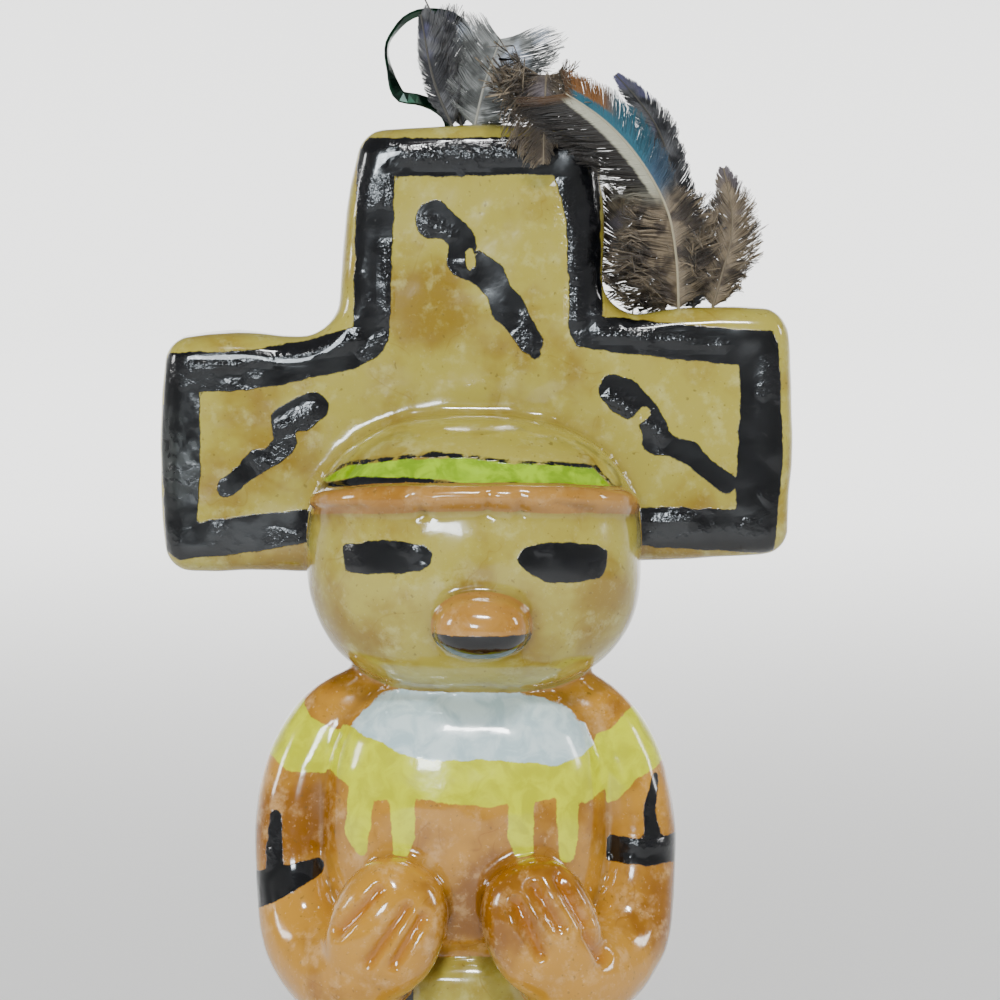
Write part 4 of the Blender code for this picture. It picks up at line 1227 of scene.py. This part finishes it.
# %% Feathers
# Routes are places along the shaft in shares of the feather's length: sideways, back and up. The
# widths in mm are of the vane left and right of the shaft, and of the down on its lower part
FEATHERS = (
    dict(node="feather_top_left", slot="dark_feather", mouth=(-3.0, 8.3, 176.0), length=17.0,
         route=((0, 0, 0), (-0.13, 0, 0.30), (-0.20, -0.01, 0.55), (-0.245, -0.02, 0.80),
                (-0.275, -0.03, 0.975)),
         left=1.8, right=4.2, down=(1.8, 4.5), vane=(0.04, 1.0), fullest=0.42,
         slant=0.95, curl=0.35, fray=0.35),
    dict(node="feather_top_tall", slot="dark_feather", mouth=(-1.6, 11.1, 176.0), length=19.5,
         route=((0, 0, 0), (-0.06, 0.02, 0.33), (-0.14, 0.02, 0.62), (-0.20, 0.02, 0.80), (-0.285, 0, 0.985)),
         left=2.2, right=5.0, down=(2.5, 4.5), vane=(0.05, 0.80), fullest=0.45,
         slant=0.85, curl=0.3, fray=0.5),
    dict(node="feather_top_plume", slot="grey_feather", mouth=(0.4, 8.7, 176.0), length=13.6,
         route=((0, 0, 0), (0.09, 0, 0.40), (0.19, 0, 0.70), (0.28, 0.02, 0.96)),
         left=6.5, right=9.6, down=(5.0, 9.5), vane=(0.0, 1.1), fullest=0.56,
         slant=0.40, curl=0.2, fray=0.3),
    dict(node="feather_top_brown", slot="brown_feather", mouth=(10.8, 6.3, 175.5), length=16.5,
         route=((0, 0, 0), (0.01, -0.03, 0.22), (0.02, -0.11, 0.42), (0.02, -0.25, 0.48), (0.01, -0.35, 0.36),
                (0, -0.37, 0.05), (-0.01, -0.365, -0.32)),
         left=6.5, right=3.8, down=(7.5, 5.0), vane=(0.06, 1.0), fullest=0.50,
         slant=0.45, curl=0.5, fray=1.0),
    dict(node="feather_side_banded", slot="banded_feather", mouth=(31.2, 9.1, 148.6), length=40.0,
         route=((0, 0, 0), (-0.01, -0.06, 0.17), (-0.04, -0.13, 0.34), (-0.10, -0.19, 0.47),
                (-0.19, -0.22, 0.60), (-0.30, -0.235, 0.71), (-0.43, -0.24, 0.80)),
         left=9.2, right=4.8, down=(10.0, 6.5), vane=(0.04, 1.12), fullest=0.64,
         slant=0.62, curl=0.15, fray=0.35, across=(0.7, 0, 0.7)),
    dict(node="feather_side_violet", slot="dark_feather", mouth=(33.6, 11.5, 148.7), length=38.5,
         route=((0, 0, 0), (-0.01, -0.01, 0.18), (-0.05, -0.02, 0.37), (-0.09, -0.03, 0.54),
                (-0.14, -0.04, 0.69), (-0.22, -0.05, 0.81), (-0.31, -0.055, 0.91)),
         left=3.4, right=3.2, down=(6.5, 5.0), vane=(0.04, 1.0), fullest=0.50,
         slant=0.8, curl=0.2, fray=0.4),
    dict(node="feather_side_short", slot="brown_feather", mouth=(36.4, 9.3, 148.8), length=21.5,
         route=((0, 0, 0), (0.06, -0.01, 0.22), (0.12, -0.02, 0.45), (0.13, -0.03, 0.68),
                (0.07, -0.04, 0.97)),
         left=5.2, right=4.8, down=(7.5, 4.4), vane=(0.02, 1.0), fullest=0.36,
         slant=0.9, curl=0.25, fray=0.55),
    dict(node="feather_side_down", slot="brown_feather", mouth=(29.2, 12.7, 148.3), length=19.5,
         route=((0, 0, 0), (-0.13, 0, 0.17), (-0.25, -0.01, 0.38), (-0.31, -0.02, 0.62),
                (-0.34, -0.03, 0.88)),
         left=6.0, right=8.0, down=(5.4, 8.5), vane=(0.02, 1.04), fullest=0.50,
         slant=0.7, curl=0.3, fray=0.7),
)
BARBS_PER_MM = 32
BARB_RADIUS = 0.1
SHAFT_RADIUS = 0.24
SHAFT_AT_TIP = 0.5
SUNK = 3.5
# The down is thickest at this share of the shaft's length, and fades over this share
DOWN_MIDDLE = 0.20
DOWN_SPREAD = 0.22
DOWN_STARTS_OVER = 0.02
VANE_ROUNDNESS = 0.7


def shaft_line(feather):
    """The shaft as an edge mesh whose points carry the vane's widths and directions, all in mm."""
    stops = [np.array(feather["mouth"]) + feather["length"] * np.array(stop) for stop in feather["route"]]
    middles = [Vector(place) for place in smooth_route(stops, 6)]
    hint = Vector(feather.get("across", (1, 0, 0)))
    start, end = feather["vane"]
    power = math.log(0.5) / math.log(feather["fullest"])
    columns = {"along": [], "left": [], "right": [], "across": [], "face": []}
    for index, middle in enumerate(middles):
        share = index / (len(middles) - 1)
        way = (middles[min(index + 1, len(middles) - 1)] - middles[max(index - 1, 0)]).normalized()
        across = (hint - way * hint.dot(way)).normalized()
        inside = min(max((share - start) / (end - start), 0.0), 1.0)
        spread = math.sin(math.pi * inside ** power) ** VANE_ROUNDNESS if 0 < inside < 1 else 0.0
        fluff = math.exp(-((share - DOWN_MIDDLE) / DOWN_SPREAD) ** 2) * min(share / DOWN_STARTS_OVER, 1)
        columns["along"].append(share)
        columns["left"].append(max(feather["left"] * spread, feather["down"][0] * fluff))
        columns["right"].append(max(feather["right"] * spread, feather["down"][1] * fluff))
        columns["across"].append(across)
        columns["face"].append(across.cross(way))
    mesh = bpy.data.meshes.new(feather["node"] + "_shaft")
    mesh.from_pydata(middles, [(k, k + 1) for k in range(len(middles) - 1)], [])
    for label, values in columns.items():
        kind, field = ("FLOAT_VECTOR", "vector") if isinstance(values[0], Vector) else ("FLOAT", "value")
        layer = mesh.attributes.new(label, kind, "POINT")
        layer.data.foreach_set(field, np.array(values, np.float32).ravel())
    return mesh, middles


def make_feather(feather, seed):
    """Grows the barbs with the group, adds the round shaft to them, and leaves one plain mesh."""
    mesh, middles = shaft_line(feather)
    grower = bpy.data.objects.new(feather["node"] + "_grower", mesh)
    collection.objects.link(grower)
    modifier = grower.modifiers.new("barbs", "NODES")
    modifier.node_group = barbs
    for label, value in (
        ("Barbs a side", int(feather["length"] * BARBS_PER_MM)), ("Thickness", BARB_RADIUS),
        ("Slant", feather["slant"]), ("Curl", feather["curl"]), ("Fray", feather["fray"]), ("Seed", seed),
        ("Material", feather_looks[feather["slot"]]),
    ):
        modifier[barb_sockets[label]] = value
    bpy.context.view_layer.update()
    plain = bpy.data.meshes.new_from_object(grower.evaluated_get(bpy.context.evaluated_depsgraph_get()))
    bpy.data.objects.remove(grower, do_unlink=True)
    plain.materials.clear()
    plain.materials.append(feather_looks[feather["slot"]])
    plain.polygons.foreach_set("material_index", [0] * len(plain.polygons))
    bm = bmesh.new()
    bm.from_mesh(plain)
    before = len(bm.verts)
    sunk = middles[0] - (middles[1] - middles[0]).normalized() * SUNK
    stops = [sunk] + middles
    shares = [max(k - 1, 0) / (len(middles) - 1) for k in range(len(stops))]
    radii = [SHAFT_RADIUS * (1 - (1 - SHAFT_AT_TIP) * share) for share in shares]
    roll_mesh(bm, [(*stop, radius) for stop, radius in zip(stops, radii)], sides=8)
    bm.verts.ensure_lookup_table()
    out_layer = bm.verts.layers.float["out"]
    for vert in bm.verts[before:]:
        vert[out_layer] = -1.0
    bmesh.ops.scale(bm, vec=(MM, MM, MM), verts=bm.verts)
    bm.to_mesh(plain)
    bm.free()
    plain.shade_smooth()
    plain.name = feather["node"] + "_barbs"
    obj = bpy.data.objects.new(feather["node"] + "_barbs", plain)
    collection.objects.link(obj)
    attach(obj, "root")
    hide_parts(feather["node"])
    return obj


for seed, feather in enumerate(FEATHERS):
    made = make_feather(feather, seed)
    print(made.name, "faces:", len(made.data.polygons))

# %% [markdown]
# The hanging loop is flat florist's wire in dark green lacquer. The CAD's own solid has the right
# shape, so it stays, and only gets its lacquer here.

# %% Green wire
wire, tree, shader, coords = new_material("green_wire")
tone = ramp(clouds(coords, 300, 2.0), 0.4, 0.65)
connect(mix(tone, srgb(2, 26, 16), srgb(6, 58, 34)), shader.inputs["Base Color"])
shader.inputs["Metallic"].default_value = 0.6
shader.inputs["Roughness"].default_value = 0.22
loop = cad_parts["hanging_loop"]
for slot in loop.material_slots:
    slot.material = wire
print("wire slots:", len(loop.material_slots))
